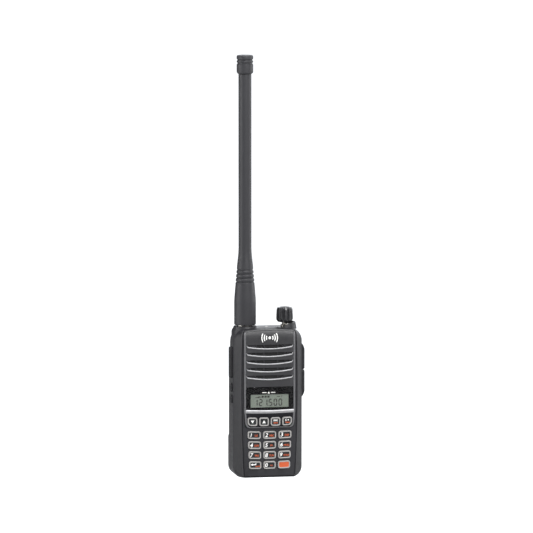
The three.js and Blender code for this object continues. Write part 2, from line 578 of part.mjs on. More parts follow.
function rearCase() {
  const caseY = [SEAM_Y + FIT, CASE_BACK_Y];
  const body = plate(sideOutline(0, DECK_Z), caseY);
  const blockZ = middleOf([BLOCK_LOW, DECK_Z]);
  const blockSize = [2 * (HALF - BLOCK.inset), DECK_Z - BLOCK_LOW];
  const blockRing = (inset) =>
    roundedRect(0, blockZ, blockSize[0] - 2 * inset, blockSize[1] - 2 * inset, BLOCK.corner - inset / 2, 4);
  const block = loft([
    { y: CASE_BACK_Y - 1, points: blockRing(0) },
    { y: BLOCK_BACK_Y - BLOCK.edge, points: blockRing(0) },
    { y: BLOCK_BACK_Y, points: blockRing(0.9 * BLOCK.edge) },
  ]);
  const cavity = plate(sideOutline(WALL, DECK_Z), [SEAM_Y - 1, CASE_INNER_Y]);
  const atticY = [SEAM_Y, BLOCK_BACK_Y - WALL];
  const attic = box([-HALF + 5, HALF - 5], atticY, [BLOCK_LOW + WALL, DECK_Z - 2 * WALL]);
  const housing = box([latchPocket.x[0] - WALL, latchPocket.x[1] + WALL],
    [latchPocket.y[0] - WALL, CASE_INNER_Y + 0.5], [WALL / 2, latchPocket.z[1] + WALL]);
  const bosses = [-1, 1].map((side) =>
    rod("y", SCREW.head - 0.1, [SEAM_Y + 1.2, CASE_INNER_Y + 0.5], [side * SCREW.x, SCREW.z], 16));

  const shell = union(cut(union(body, block, pedestal()), cavity, attic), housing, bosses, knobGuard());
  const sideCuts = sideKeys().map(({ drop, height }) => {
    const z = BODY_HEIGHT - drop - height / 2;
    const hole = roundedRect(middleOf(SIDE_Y), z, SIDE_KEY_DEPTH + 2 * FIT, height + 2 * FIT, 2);
    return sidePlate(hole, [-HALF - 1, -HALF + WALL + 0.2]);
  });
  return cut(
    shell,
    sideCuts,
    socketHoles(),
    [-1, 1].map((side) => railSlot(side * railX())),
    box(latchPocket.x, latchPocket.y, latchPocket.z),
    box(contactSize.x.map((x) => x * 1.03), [CASE_INNER_Y - 1, CASE_BACK_Y + 1],
      [contactSize.z[0] - FIT, contactSize.z[1] + FIT]),
    rod("z", JACK.body + FIT, [DECK_Z - 12, DECK_Z + 4], [ANTENNA_X, TOP_Y]),
    rod("z", BUSHING.radius + FIT, [DECK_Z - 6, DECK_Z + 2], [KNOB_X, TOP_Y]),
    rod("z", LED.radius + 0.1, [DECK_Z - 6, DECK_Z + 2], [LED.x, LED.y], 16),
    [-1, 1].flatMap((side) => [
      rod("y", SCREW.head + 0.1, [CASE_BACK_Y - 1.6, CASE_BACK_Y + 1], [side * SCREW.x, SCREW.z], 16),
      rod("y", SCREW.shank + 0.1, [SEAM_Y - 1, CASE_BACK_Y], [side * SCREW.x, SCREW.z], 12),
    ]),
  );
}

/** The openings in the right wall in front of the audio sockets. */
function socketHoles() {
  return audioJacks().map(({ radius, z }) =>
    rod("x", radius + 0.8, [HALF - WALL - 0.2, HALF + 1], [AUDIO_Y, z], 20));
}

/** A ring seal that bridges the seam from the inside. */
function caseSeal() {
  const depth = [SEAM_Y - 0.7, SEAM_Y + 0.9];
  const ring = plate(sideOutline(WALL + TOUCH, DECK_Z), depth);
  return cut(ring, plate(sideOutline(WALL + SEAL_WIDTH, DECK_Z), [depth[0] - 1, depth[1] + 1]));
}

// ---------------------------------------------------------------- side controls and sockets

function addSideControls() {
  const outer = -HALF;
  const groove = { count: 8, pitch: 2.3, length: 4.8, height: 1, depth: 0.45 };
  for (const { name, drop, height, proud } of sideKeys()) {
    const z = BODY_HEIGHT - drop - height / 2;
    const y = middleOf(SIDE_Y);
    const inner = outer + WALL + FIT;
    const cap = sidePlate(roundedRect(y, z, SIDE_KEY_DEPTH, height, 1.8), [outer - proud, inner]);
    const flange = sidePlate(roundedRect(y, z, SIDE_KEY_DEPTH + 0.8, height + 2.4, 1), [inner, inner + 0.7]);
    const grooves = [];
    if (name === "ptt_button") {
      const grooveX = [outer - proud - 1, outer - proud + groove.depth];
      const grooveY = [y - groove.length / 2, y + groove.length / 2];
      for (let i = 0; i < groove.count; i++) {
        const low = z + (i - (groove.count - 1) / 2) * groove.pitch - groove.height / 2;
        grooves.push(box(grooveX, grooveY, [low, low + groove.height]));
      }
    }
    add(name, cut(union(cap, flange), grooves), RUBBER);
  }
  const low = BODY_HEIGHT - SIDE_KEY.lowerDrop - SIDE_KEY.height - 1;
  const high = BODY_HEIGHT - PTT.drop;
  const boardX = outer + WALL + FIT + 0.7 + PTT.travel + FIT;
  add("side_switch_board",
    box([boardX, boardX + 1], [SIDE_Y[0] + 0.4, MAIN_BOARD_Y - 0.3], [low, high]), BOARD);
}

const AUDIO_Y = MAIN_BOARD_Y - 2.35; // the socket block sits in a notch of the main board
const audioBlock = {
  x: [HALF - 12, HALF - WALL - SEAL_WIDTH - FIT],
  y: [AUDIO_Y - 2.7, AUDIO_Y + 2.7],
  z: [BODY_HEIGHT - COVER.drop - 17.5, BODY_HEIGHT - COVER.drop - 1.5],
};
/** The speaker and microphone sockets, the larger one on top. */
const audioJacks = () => [
  { radius: 1.75, z: BODY_HEIGHT - COVER.drop - 5.5 },
  { radius: 1.3, z: BODY_HEIGHT - COVER.drop - 14 },
];

function addSockets() {
  const top = BODY_HEIGHT - COVER.drop;
  const flapX = [HALF + TOUCH, HALF + COVER.proud];
  const coverY = [AUDIO_Y - 4.8, AUDIO_Y + 5];
  const shaped = (z) => loftSide(flapX, coverY, z, 0.8);
  add("jack_cover", shaped([top - COVER.flap, top]), RUBBER);
  add("jack_cover_tab", shaped([top - COVER.flap - COVER.tab, top - COVER.flap - 0.4]), RUBBER);
  const block = box(audioBlock.x, audioBlock.y, audioBlock.z);
  const bores = audioJacks().map(({ radius, z }) =>
    rod("x", radius, [audioBlock.x[0] + 1, HALF + 1], [AUDIO_Y, z], 20));
  add("audio_jacks", cut(block, bores), CASING);
}

/** A pad on the right wall whose outer face is smaller than its foot. */
function loftSide([x0, x1], [y0, y1], [z0, z1], pull) {
  const ring = (inset) =>
    roundedRect(-(y0 + y1) / 2, (z0 + z1) / 2, y1 - y0 - 2 * inset, z1 - z0 - 2 * inset, 1.5);
  return loft([{ y: x0, points: ring(0) }, { y: x1 - pull, points: ring(0) }, { y: x1, points: ring(pull) }])
    .rotate([0, 0, -90]);
}

// ---------------------------------------------------------------- boards inside the case

function addBoards() {
  const low = latchPocket.z[1] + WALL + 1.2;
  const half = HALF - 5.8;
  const y = [MAIN_BOARD_Y, MAIN_BOARD_Y + BOARD_THICK];
  const grow = ([a, b]) => [a - FIT, b + FIT];
  const notch = box(grow(audioBlock.x), [y[0] - 1, y[1] + 1], grow(audioBlock.z));
  const socketNotch = notch.add(notch.translate([audioBlock.x[1] - audioBlock.x[0], 0, 0]));
  add("main_board", cut(box([-half, half], y, [low, DECK_Z - 17.6]), socketNotch), BOARD);
  add("rf_shield", box([-13, 13], [MAIN_BOARD_Y - 2.8, MAIN_BOARD_Y - TOUCH], [low + 8, low + 46]), NICKEL);
}

// ---------------------------------------------------------------- volume control

/** The fluted knob, around its own axis, from its lower rim up. */
function knobSolid() {
  const { radius, height, lobes } = KNOB;
  const ring = (scale, depth) => {
    const points = [];
    const steps = lobes * 4;
    for (let i = 0; i < steps; i++) {
      const angle = (i / steps) * 2 * Math.PI;
      const r = radius * scale - depth * Math.max(0, -Math.cos(lobes * angle)) ** 0.7;
      points.push([r * Math.cos(angle), r * Math.sin(angle)]);
    }
    return points;
  };
  const outside = loft([
    { y: 0, points: ring(0.86, 0.1) },
    { y: 1.5, points: ring(0.99, 0.6) },
    { y: height - 1.6, points: ring(0.95, 0.6) },
    { y: height, points: ring(0.78, 0.2) },
  ]).rotate([90, 0, 0]);
  const skirt = rod("z", BUSHING.radius + 1.2, [-1, 1.4], [0, 0]);
  return cut(outside, skirt, rod("z", SHAFT_RADIUS + TOUCH, [-1, 7], [0, 0], 20));
}

/** The status light stands on the deck, halfway between the antenna's foot and the knob's wall. */
const LED = {
  x: middleOf([ANTENNA_X + ANTENNA.boot + PEDESTAL.flare, KNOB_X - KNOB.radius - 1.5]),
  y: TOP_Y - 1,
  radius: 1.4,
};

function addTop() {
  const at = [KNOB_X, TOP_Y, 0];
  const under = DECK_Z - WALL;
  const bushing = rod("z", BUSHING.radius, [under - 1, DECK_Z + BUSHING.rise], [0, 0]);
  const bodyZ = [audioBlock.z[1] + FIT, under - WALL - FIT];
  const body = union(box([-5.5, 5.5], [-5.2, 5.2], bodyZ), bushing,
    rod("z", BUSHING.radius, [under - 3, under], [0, 0]));
  const bore = rod("z", BUSHING.bore, [under - 8, DECK_Z + 5], [0, 0]);
  add("volume_switch", cut(body, bore), NICKEL, radio, at);
  add("volume_shaft", rod("z", SHAFT_RADIUS, [under - 7, KNOB_LOW + 6.8], [0, 0], 20), NICKEL, radio, at);
  add("volume_knob", knobSolid(), CASING, radio, [KNOB_X, TOP_Y, KNOB_LOW]);
  const { radius } = LED;
  const lens = turned([[0, -2.2], [radius, -2.2], [radius, 0.3], [radius * 0.6, 0.8], [0, 0.9]], 16);
  add("status_led", lens, AMBER, radio, [LED.x, LED.y, DECK_Z]);
}

// ---------------------------------------------------------------- antenna

const JACK = { body: 5, barrel: 4.75, bore: 3.3, rise: 10.5, lug: 0.9 };
const SEAT_Z = DECK_Z + PEDESTAL.rise; // top of the pedestal that the antenna stands on

function addAntenna() {
  const group = new THREE.Group();
  group.position.set(ANTENNA_X, TOP_Y, 0);
  radio.add(group);
  const barrelTop = SEAT_Z + 0.6 + JACK.rise;
  const lugZ = SEAT_Z + 6.8;
  const jack = union(
    turned([
      [0, SEAT_Z - 9], [JACK.body, SEAT_Z - 9], [JACK.body, SEAT_Z], [JACK.body + 1.2, SEAT_Z + 0.1],
      [JACK.body + 1.2, SEAT_Z + 0.6], [JACK.barrel, SEAT_Z + 0.6], [JACK.barrel, barrelTop],
      [JACK.bore, barrelTop], [JACK.bore, SEAT_Z + 2], [1, SEAT_Z + 2], [1, SEAT_Z + 7], [0, SEAT_Z + 7],
    ]),
    rod("x", JACK.lug, [-JACK.barrel - 1, -JACK.barrel + 0.6], [0, lugZ], 12),
    rod("x", JACK.lug, [JACK.barrel - 0.6, JACK.barrel + 1], [0, lugZ], 12),
  );
  add("antenna_jack", jack, NICKEL, group);

  const plugTop = barrelTop + 2.4;
  const inside = JACK.barrel + 0.25;
  const plugOut = ANTENNA.boot - 1.4;
  const groove = inside + 1;
  const plug = turned([
    [plugOut, SEAT_Z + 1], [plugOut, plugTop], [0, plugTop],
    [0, barrelTop], [1.25, barrelTop], [1.25, SEAT_Z + 4], [2.6, SEAT_Z + 4], [2.6, barrelTop + 0.6],
    [inside, barrelTop + 0.6], [inside, lugZ + 1.6], [groove, lugZ + 1.6], [groove, lugZ - 1.6],
    [inside, lugZ - 1.6], [inside, SEAT_Z + 1], [plugOut, SEAT_Z + 1],
  ]);
  add("antenna_plug", plug, NICKEL, group);

  add("antenna_sleeve", antennaSleeve(plugOut + TOUCH, plugTop + TOUCH), WHIP, group);
  const tipLow = ANTENNA_TOP - 13.9;
  add("antenna_core", rod("z", 1.3, [plugTop + TOUCH, ANTENNA_TOP - 6], [0, 0], 12), NICKEL, group);
  const r = ANTENNA.tip;
  const top = ANTENNA_TOP;
  add("antenna_tip", turned([
    [1.5, tipLow], [ANTENNA.rod + 0.2, tipLow], [r, tipLow + 1.2], [r, top - 6.8], [r - 0.6, top - 6.2],
    [r - 0.6, top - 5.8], [r, top - 5.1], [r, top - 4.3], [r - 0.6, top - 3.7], [r - 0.6, top - 3.3],
    [r, top - 2.6], [r, top - 0.9], [r - 0.9, top], [0, top], [0, top - 5.8], [1.5, top - 5.8], [1.5, tipLow],
  ]), WHIP, group);
}

/** The rubber sleeve: a boot over the plug, three grip rings and a long whip. */
function antennaSleeve(plugRadius, plugTop) {
  const low = SEAT_Z + 0.7;
  const { boot, rod: whip } = ANTENNA;
  const ringLow = low + 31.6;
  const ringPitch = 3;
  const rings = 3;
  const ringTop = ringLow + rings * ringPitch;
  const outside = [
    [boot - 0.4, low], [boot, low + 1], [boot, low + 17], [boot - 0.35, low + 22.5], [boot - 1.1, ringLow],
  ];
  for (let i = 0; i < rings; i++) {
    const z = ringLow + i * ringPitch;
    const r = boot - 1.2 - 0.28 * i;
    outside.push([r - 0.45, z + 0.4], [r - 0.45, z + 0.8], [r, z + 1.2], [r, z + 2.6]);
  }
  outside.push([boot - 2.4, ringTop + 0.3], [boot - 2.4, ringTop + 0.7], [boot - 1.95, ringTop + 1.1]);
  const high = ANTENNA_TOP - 14;
  outside.push([whip + 0.45, ringTop + 10], [whip, ringTop + 17], [whip, high]);
  const hollow = [[1.5, high], [1.5, plugTop], [plugRadius, plugTop], [plugRadius, low], [boot - 0.4, low]];
  return turned([...outside, ...hollow]);
}

// ---------------------------------------------------------------- battery pack

/** The pack's outline: rounded lower corners and a slightly wider grip near the foot. */
function packOutline(inset) {
  const halfAt = (z) => BATTERY_HALF - inset + (z < BATTERY.gripTop ? BATTERY.grip : 0);
  const share = (z) => (z - PACK_CORNER.z) / (BATTERY.height - 1.5 - PACK_CORNER.z);
  return outline({
    halfAt,
    low: inset,
    high: BATTERY.height - inset,
    foot: { x: PACK_CORNER.x - inset / 2, z: PACK_CORNER.z - inset },
    head: { x: 1.5, z: 1.5 - inset / 2 },
    stations: [0.1, share(BATTERY.gripTop - 1), share(BATTERY.gripTop + 1), 0.6, 0.85],
  });
}

function addBattery() {
  const pack = new THREE.Group();
  radio.add(pack);
  const plateY = [BATTERY_FRONT_Y, BATTERY_FRONT_Y + BATTERY.plate];
  const tubFront = plateY[1] + TOUCH;
  const tub = loft([
    { y: tubFront, points: packOutline(0) },
    { y: BATTERY_BACK_Y - 3.4, points: packOutline(0) },
    { y: BATTERY_BACK_Y - 1, points: packOutline(0.9) },
    { y: BATTERY_BACK_Y, points: packOutline(2.6) },
  ]);
  const hollow = plate(packOutline(BATTERY.wall), [tubFront - 1, BATTERY_BACK_Y - BATTERY.wall - 1.2]);
  const ribY = [BATTERY_BACK_Y - BATTERY_RIBS.depth, BATTERY_BACK_Y + 1];
  const ribs = Array.from({ length: BATTERY_RIBS.count }, (_, i) => {
    const z = BATTERY_RIBS.low + i * BATTERY_RIBS.pitch;
    return box([-HALF, HALF], ribY, [z, z + BATTERY_RIBS.height]);
  });
  add("battery_case", cut(tub, hollow, ribs), CASING, pack);

  const headY0 = CASE_INNER_Y + RAIL.skin + 0.75 * FIT;
  const rails = [-1, 1].flatMap((side) => {
    const x = side * railX();
    const z = [2, BATTERY.height - 2];
    return [
      box([x - RAIL.neck / 2, x + RAIL.neck / 2], [headY0 + 0.2, plateY[0] + 0.2], z),
      box([x - RAIL.head / 2, x + RAIL.head / 2], [headY0, headY0 + RAIL.headThick], z),
    ];
  });
  const channelHalf = LATCH.tooth / 2 + 2 * FIT;
  const channelY = [plateY[0] - 1, plateY[0] + 1.4];
  const channel = box([-channelHalf, channelHalf], channelY, [-1, BATTERY.height + 1]);
  add("battery_plate", cut(union(plate(packOutline(0.1), plateY), rails), channel), CASING, pack);

  const cellY = [plateY[1] + 0.5, BATTERY_BACK_Y - BATTERY.wall - 1.5];
  const cellZ = [7, BATTERY.height - 4];
  const cellEdge = BATTERY_HALF - BATTERY.wall - 0.6;
  add("cell_left", box([-cellEdge, -0.4], cellY, cellZ), CELL, pack);
  add("cell_right", box([0.4, cellEdge], cellY, cellZ), CELL, pack);

  const blockY = [CASE_INNER_Y + FIT, CASE_BACK_Y + 0.15];
  add("contact_block", box(contactSize.x, blockY, contactSize.z), NICKEL);
}

function addLatch() {
  const low = 0.5;
  const half = LATCH.width / 2;
  const backY = CASE_BACK_Y - 0.4;
  const frontY = latchPocket.y[0] + LATCH.travel + FIT;
  const groovePitch = (backY - frontY) / 4;
  const body = box([-half, half], [frontY, backY], [low, low + LATCH.height]);
  const tooth = box([-LATCH.tooth / 2, LATCH.tooth / 2], [backY - 0.5, BATTERY_FRONT_Y + 1.1], [1.5, 4.5]);
  const grooves = [0, 1, 2].map((i) =>
    box([-half + 1, half - 1], [frontY + (i + 0.6) * groovePitch, frontY + (i + 1.1) * groovePitch],
      [low - 1, low + 0.4]));
  add("battery_latch", cut(union(body, tooth), grooves), CASING);
}

// ---------------------------------------------------------------- belt clip

/** A profile of [y, z] points extruded across the width, between two x stations. */
function across(points, [x0, x1]) {
  const shape = new THREE.Shape(points.map(([y, z]) => new THREE.Vector2(y, z)));
  const g = new THREE.ExtrudeGeometry(shape, { depth: x1 - x0, bevelEnabled: false });
  const basis = new THREE.Matrix4().set(0, 0, 1, x0, 1, 0, 0, 0, 0, 1, 0, 0, 0, 0, 0, 1);
  return solid(g.applyMatrix4(basis));
}

function addClip() {
  const clip = new THREE.Group();
  radio.add(clip);
  const half = CLIP.width / 2;
  const ear = 1.8;
  const baseY = [BLOCK_BACK_Y + TOUCH, BLOCK_BACK_Y + 2.1];
  const ears = [-1, 1].map((side) => {
    const x = side < 0 ? [-half, -half + ear] : [half - ear, half];
    return union(
      box(x, [baseY[1] - 0.5, PIVOT.y], [PIVOT.z - 2.4, PIVOT.z + 2.4]),
      rod("x", 2.4, x, [PIVOT.y, PIVOT.z], 20),
    );
  });
  const base = union(box([-half, half], baseY, [BLOCK_LOW + 2, BODY_HEIGHT - 5]), ears);
  const bore = rod("x", CLIP.pin + TOUCH, [-half - 1, half + 1], [PIVOT.y, PIVOT.z], 16);
  add("clip_base", cut(base, bore), CASING, clip);
  add("clip_pin", rod("x", CLIP.pin, [-half - 0.3, half + 0.3], [PIVOT.y, PIVOT.z], 16), NICKEL, clip);

  const innerY = BATTERY_BACK_Y + CLIP.standoff;
  const outerY = innerY + CLIP.thick;
  const tipZ = PIVOT.z - CLIP.length;
  const leverTop = PIVOT.z + 6.5;
  const padY = BATTERY_BACK_Y + 0.5; // the arm's foot stays just clear of the battery
  const profile = [
    [outerY, leverTop], [innerY + 0.6, leverTop], [innerY - 0.6, PIVOT.z + 1], [innerY - 0.6, PIVOT.z - 1],
    [innerY, PIVOT.z - 6], [innerY, tipZ + 9], [padY, tipZ + 4.6], [padY, tipZ + 3.4],
    [innerY + 0.4, tipZ], [outerY + 0.2, tipZ + 0.6], [outerY, tipZ + 5],
  ];
  const armHalf = half - ear - FIT;
  const boss = (x) => union(
    rod("x", 2.1, x, [PIVOT.y, PIVOT.z], 20),
    box(x, [PIVOT.y, innerY + 0.2], [PIVOT.z - 2, PIVOT.z + 2]),
  );
  const springHalf = 3.4;
  const arm = union(
    across(profile, [-armHalf, armHalf]),
    box([-half, half], [innerY, outerY], [tipZ + 9, PIVOT.z - 8]),
    boss([-armHalf, -springHalf]),
    boss([springHalf, armHalf]),
  );
  add("clip_arm", cut(arm, bore), CASING, clip);
  add("clip_spring", torsionSpring(springHalf - 0.4), NICKEL, clip);
}

/** The clip's torsion spring: a close coil around the pin. */
function torsionSpring(half) {
  const turns = 4;
  const steps = turns * 10;
  const radius = CLIP.pin + 0.6;
  const wire = 0.3;
  const points = [];
  for (let i = 0; i <= steps; i++) {
    const angle = (i / steps) * turns * 2 * Math.PI;
    const x = -half + (2 * half * i) / steps;
    points.push(new THREE.Vector3(x, PIVOT.y + radius * Math.cos(angle), PIVOT.z + radius * Math.sin(angle)));
  }
  const section = new THREE.Shape();
  section.absarc(0, 0, wire, 0, 2 * Math.PI, false);
  const path = new THREE.CatmullRomCurve3(points);
  return solid(new THREE.ExtrudeGeometry(section, { steps, extrudePath: path, curveSegments: 3 }));
}

// ---------------------------------------------------------------- fasteners

function addScrews() {
  const headY = [CASE_BACK_Y - 1.5, CASE_BACK_Y - 0.4];
  const slot = box([-1.2, 1.2], [headY[1] - 0.4, headY[1] + 1], [-0.25, 0.25]);
  const screw = cut(
    union(
      rod("y", SCREW.head, headY, [0, 0], 16),
      rod("y", SCREW.shank, [SEAM_Y + 0.6, headY[0] + 0.2], [0, 0], 12),
    ),
    slot,
    slot.rotate([0, 90, 0]),
  );
  add("case_screw_left", screw, NICKEL, radio, [-SCREW.x, 0, SCREW.z]);
  add("case_screw_right", screw, NICKEL, radio, [SCREW.x, 0, SCREW.z]);
}

// ---------------------------------------------------------------- build

const keys = keyTable();
addFront(keys);
addSound();
add("rear_case", rearCase(), CASING);
add("case_seal", caseSeal(), RUBBER);
addSideControls();
addSockets();
addBoards();
addTop();
addAntenna();
addBattery();
addLatch();
addClip();
addScrews();

export default radio;
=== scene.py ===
"""The looks of a handheld airband transceiver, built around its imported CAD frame.

Sizes are in millimetres and are turned into metres where a mesh is made. The radio faces -Y, +X is its
right side for someone facing it, and it stands on z = 0.
"""
import math

import bmesh
import bpy
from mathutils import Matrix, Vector


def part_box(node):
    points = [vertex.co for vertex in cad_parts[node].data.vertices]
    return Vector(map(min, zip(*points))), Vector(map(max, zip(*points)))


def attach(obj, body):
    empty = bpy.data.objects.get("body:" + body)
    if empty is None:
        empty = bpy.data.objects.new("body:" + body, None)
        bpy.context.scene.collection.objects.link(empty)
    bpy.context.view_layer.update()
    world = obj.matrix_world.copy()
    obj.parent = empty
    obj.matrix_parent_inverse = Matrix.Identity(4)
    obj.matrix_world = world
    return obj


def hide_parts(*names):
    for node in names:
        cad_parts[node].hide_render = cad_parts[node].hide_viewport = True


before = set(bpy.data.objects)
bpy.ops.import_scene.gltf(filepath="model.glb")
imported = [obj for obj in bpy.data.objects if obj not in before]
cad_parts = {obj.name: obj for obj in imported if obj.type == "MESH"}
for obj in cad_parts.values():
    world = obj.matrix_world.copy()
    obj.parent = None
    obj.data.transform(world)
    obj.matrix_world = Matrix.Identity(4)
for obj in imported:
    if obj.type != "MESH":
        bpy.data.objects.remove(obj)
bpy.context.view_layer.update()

MM = 0.001


def add_object(name, data):
    made = bpy.data.objects.new(name, data)
    bpy.context.scene.collection.objects.link(made)
    return made


def span(node):
    """The (low, high) stations of a CAD node along x, y and z, in millimetres."""
    low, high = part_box(node)
    return [(low[axis] / MM, high[axis] / MM) for axis in range(3)]


def middle(stations):
    return (stations[0] + stations[1]) / 2


# -------- stations taken from the frame

COVER_X, COVER_Y, COVER_Z = span("front_cover")
PANEL_X, PANEL_Y, PANEL_Z = span("speaker_panel")
WINDOW_X, WINDOW_Y, WINDOW_Z = span("display_window")
TRIM_X, TRIM_Y, TRIM_Z = span("trim_bar")
LCD_X, LCD_Y, LCD_Z = span("lcd_module")
KNOB_X, _, KNOB_Z = span("volume_knob")
SLEEVE_X, _, SLEEVE_Z = span("antenna_sleeve")
TIP_X, TIP_Y, TIP_Z = span("antenna_tip")
MESH_X, _, MESH_Z = span("speaker_mesh")

HALF = COVER_X[1]  # half the casing's width
FACE_Y = COVER_Y[0]  # plane of the keypad face
SEAM_Y = COVER_Y[1]  # parting line between front cover and rear case
TOP_Z = COVER_Z[1]  # top edge of the front cover
WALL = 1.6  # thickness of the casing
FIT = 0.2  # free gap around pieces that move or are let in
DECK_Z = TOP_Z - 1  # the deck that the antenna and the knob stand on
PEDESTAL = 10.0  # radius of the deck's collar around the antenna's foot
BATTERY_TRAVEL = 88
FLOOR_Z = -BATTERY_TRAVEL - 0.5  # low enough for the battery to slide off its rails above it
FACE_WIDEST_Z = 0.6 * TOP_Z
FACE_EDGE_Y = FACE_Y + 0.6  # where the slanted flanks begin
FLANK_BACK_Y = FACE_Y + 6.5  # where they end
FLANK_STEP = 0.6  # a flank ends this far inside the casing's side
FLANK_EASE = 0.5  # and is rounded over this depth before and after its end
PANEL_HALF = PANEL_X[1]
ANTENNA_X = middle(TIP_X)
TOP_Y = middle(TIP_Y)  # antenna and knob axes
KNOB_AXIS = middle(KNOB_X)
SPEAKER_Z = middle(MESH_Z)
DISPLAY_Z = middle(LCD_Z)
FUNCTION_Z = middle(span("up_key")[2])  # middle of the row of function keys
LCD_WIDTH = LCD_X[1] - LCD_X[0] - 2  # the glass inside its module's rim
LCD_HEIGHT = LCD_Z[1] - LCD_Z[0] - 2.4
SMILE = 0.0015  # rows of keys and the trim bar curve upwards to both sides: rise per mm squared

# -------- colours, linear

BLACK_PLASTIC = (0.013, 0.013, 0.015)
PANEL_PLASTIC = (0.020, 0.020, 0.022)
KEY_RING = (0.27, 0.262, 0.255)
KEY_CENTRE = (0.014, 0.016, 0.017)
ORANGE = (0.50, 0.085, 0.022)
WHITE_INK = (0.82, 0.82, 0.80)
LCD_GREEN = (0.15, 0.175, 0.146)
LCD_INK = (0.012, 0.009, 0.008)
RUBBER_BLACK = (0.011, 0.011, 0.013)
WHIP_GREY = (0.024, 0.024, 0.027)
SILVER = (0.40, 0.40, 0.41)


# -------- material helpers


def new_material(name):
    material = bpy.data.materials.new(name)
    material.use_nodes = True
    tree = material.node_tree
    return material, tree, tree.nodes["Principled BSDF"]


def place(tree, kind):
    return tree.nodes.new("ShaderNode" + kind)


def put(node, name, value):
    """Sets an input of a node."""
    node.inputs[name].default_value = value


def feed(tree, source, node, name):
    """Links a socket to an input of a node."""
    tree.links.new(source, node.inputs[name])


def coordinates(tree):
    """The piece's own coordinates, in metres."""
    return place(tree, "TexCoord").outputs["Object"]


def noise(tree, size, detail=3.0):
    """A noise value whose patches are about size millimetres across."""
    texture = place(tree, "TexNoise")
    feed(tree, coordinates(tree), texture, "Vector")
    put(texture, "Scale", 1 / (size * MM))
    put(texture, "Detail", detail)
    return texture.outputs["Fac"]


def fit(tree, value, source, target):
    """Maps a value from the source range to the target range, clamped."""
    mapping = place(tree, "MapRange")
    feed(tree, value, mapping, "Value")
    put(mapping, "From Min", source[0])
    put(mapping, "From Max", source[1])
    put(mapping, "To Min", target[0])
    put(mapping, "To Max", target[1])
    return mapping.outputs["Result"]


def blend_colours(tree, factor, first, second):
    """Mixes two colours, each given as a triple or as a socket."""
    mix = place(tree, "Mix")
    mix.data_type = "RGBA"
    feed(tree, factor, mix, "Factor")
    for name, colour in (("A", first), ("B", second)):
        socket = [s for s in mix.inputs if s.name == name and s.type == "RGBA"][0]
        if isinstance(colour, tuple):
            socket.default_value = (*colour, 1)
        else:
            tree.links.new(colour, socket)
    return [s for s in mix.outputs if s.type == "RGBA"][0]


def shade(colour, share):
    return tuple(min(1.0, channel * share) for channel in colour)


def uneven_gloss(tree, shader, size, detail, low, high):
    """Lets the roughness wander between two values, in patches of a size in millimetres."""
    feed(tree, fit(tree, noise(tree, size, detail), (0.3, 0.7), (low, high)), shader, "Roughness")


def relief(tree, shader, height, depth, strength):
    """A bump from a height value, depth millimetres deep."""
    bump = place(tree, "Bump")
    put(bump, "Strength", strength)
    put(bump, "Distance", depth * MM)
    feed(tree, height, bump, "Height")
    feed(tree, bump.outputs["Normal"], shader, "Normal")


def moulded(name, colour, roughness, grain=0.3, depth=0.05, mottle=0.12, wear=0.3, gleam=0.28):
    """Moulded plastic or rubber: fine grain, cloudy tone, uneven gloss and lighter, worn edges."""
    material, tree, shader = new_material(name)
    cloud = noise(tree, 7, 4)
    grains = noise(tree, grain, 2)
    tone = blend_colours(tree, cloud, shade(colour, 1 - mottle), shade(colour, 1 + mottle))
    specks = fit(tree, grains, (0.5, 0.8), (0, 0.5))
    speckled = blend_colours(tree, specks, tone, shade(colour, 1.9))
    edges = place(tree, "NewGeometry").outputs["Pointiness"]
    worn = fit(tree, edges, (0.52, 0.64), (0, wear))
    final = blend_colours(tree, worn, speckled, shade(colour, 3.2))
    feed(tree, final, shader, "Base Color")
    uneven_gloss(tree, shader, 2.2, 3, roughness - 0.06, roughness + 0.06)
    put(shader, "Specular IOR Level", gleam)
    relief(tree, shader, grains, depth, 0.5)
    return material


def brushed_metal(name, colour, roughness):
    """Plated metal with fine scratches and slight tarnish."""
    material, tree, shader = new_material(name)
    tarnish = fit(tree, noise(tree, 2.5, 4), (0.35, 0.75), (0, 0.6))
    tone = blend_colours(tree, tarnish, colour, shade(colour, 0.62))
    feed(tree, tone, shader, "Base Color")
    uneven_gloss(tree, shader, 0.5, 2, roughness - 0.07, roughness + 0.1)
    put(shader, "Metallic", 1.0)
    relief(tree, shader, noise(tree, 0.22, 2), 0.02, 0.25)
    return material


def printed(name, colour, roughness=0.5, gleam=0.5):
    """Ink or paint, slightly uneven in tone."""
    material, tree, shader = new_material(name)
    tone = blend_colours(tree, noise(tree, 0.8, 3), shade(colour, 0.86), shade(colour, 1.1))
    feed(tree, tone, shader, "Base Color")
    put(shader, "Roughness", roughness)
    put(shader, "Specular IOR Level", gleam)
    return material


def patterned(name, first, second, size, roughness, depth):
    """A cell pattern, for woven mesh, copper tracks or shrink wrap."""
    material, tree, shader = new_material(name)
    cells = place(tree, "TexVoronoi")
    cells.feature = "DISTANCE_TO_EDGE"
    put(cells, "Scale", 1 / (size * MM))
    put(cells, "Randomness", 0.35)
    feed(tree, coordinates(tree), cells, "Vector")
    ridge = fit(tree, cells.outputs["Distance"], (0.06, 0.22), (1, 0))
    feed(tree, blend_colours(tree, ridge, first, second), shader, "Base Color")
    uneven_gloss(tree, shader, size, 2, roughness - 0.08, roughness + 0.08)
    relief(tree, shader, ridge, depth, 0.7)
    return material


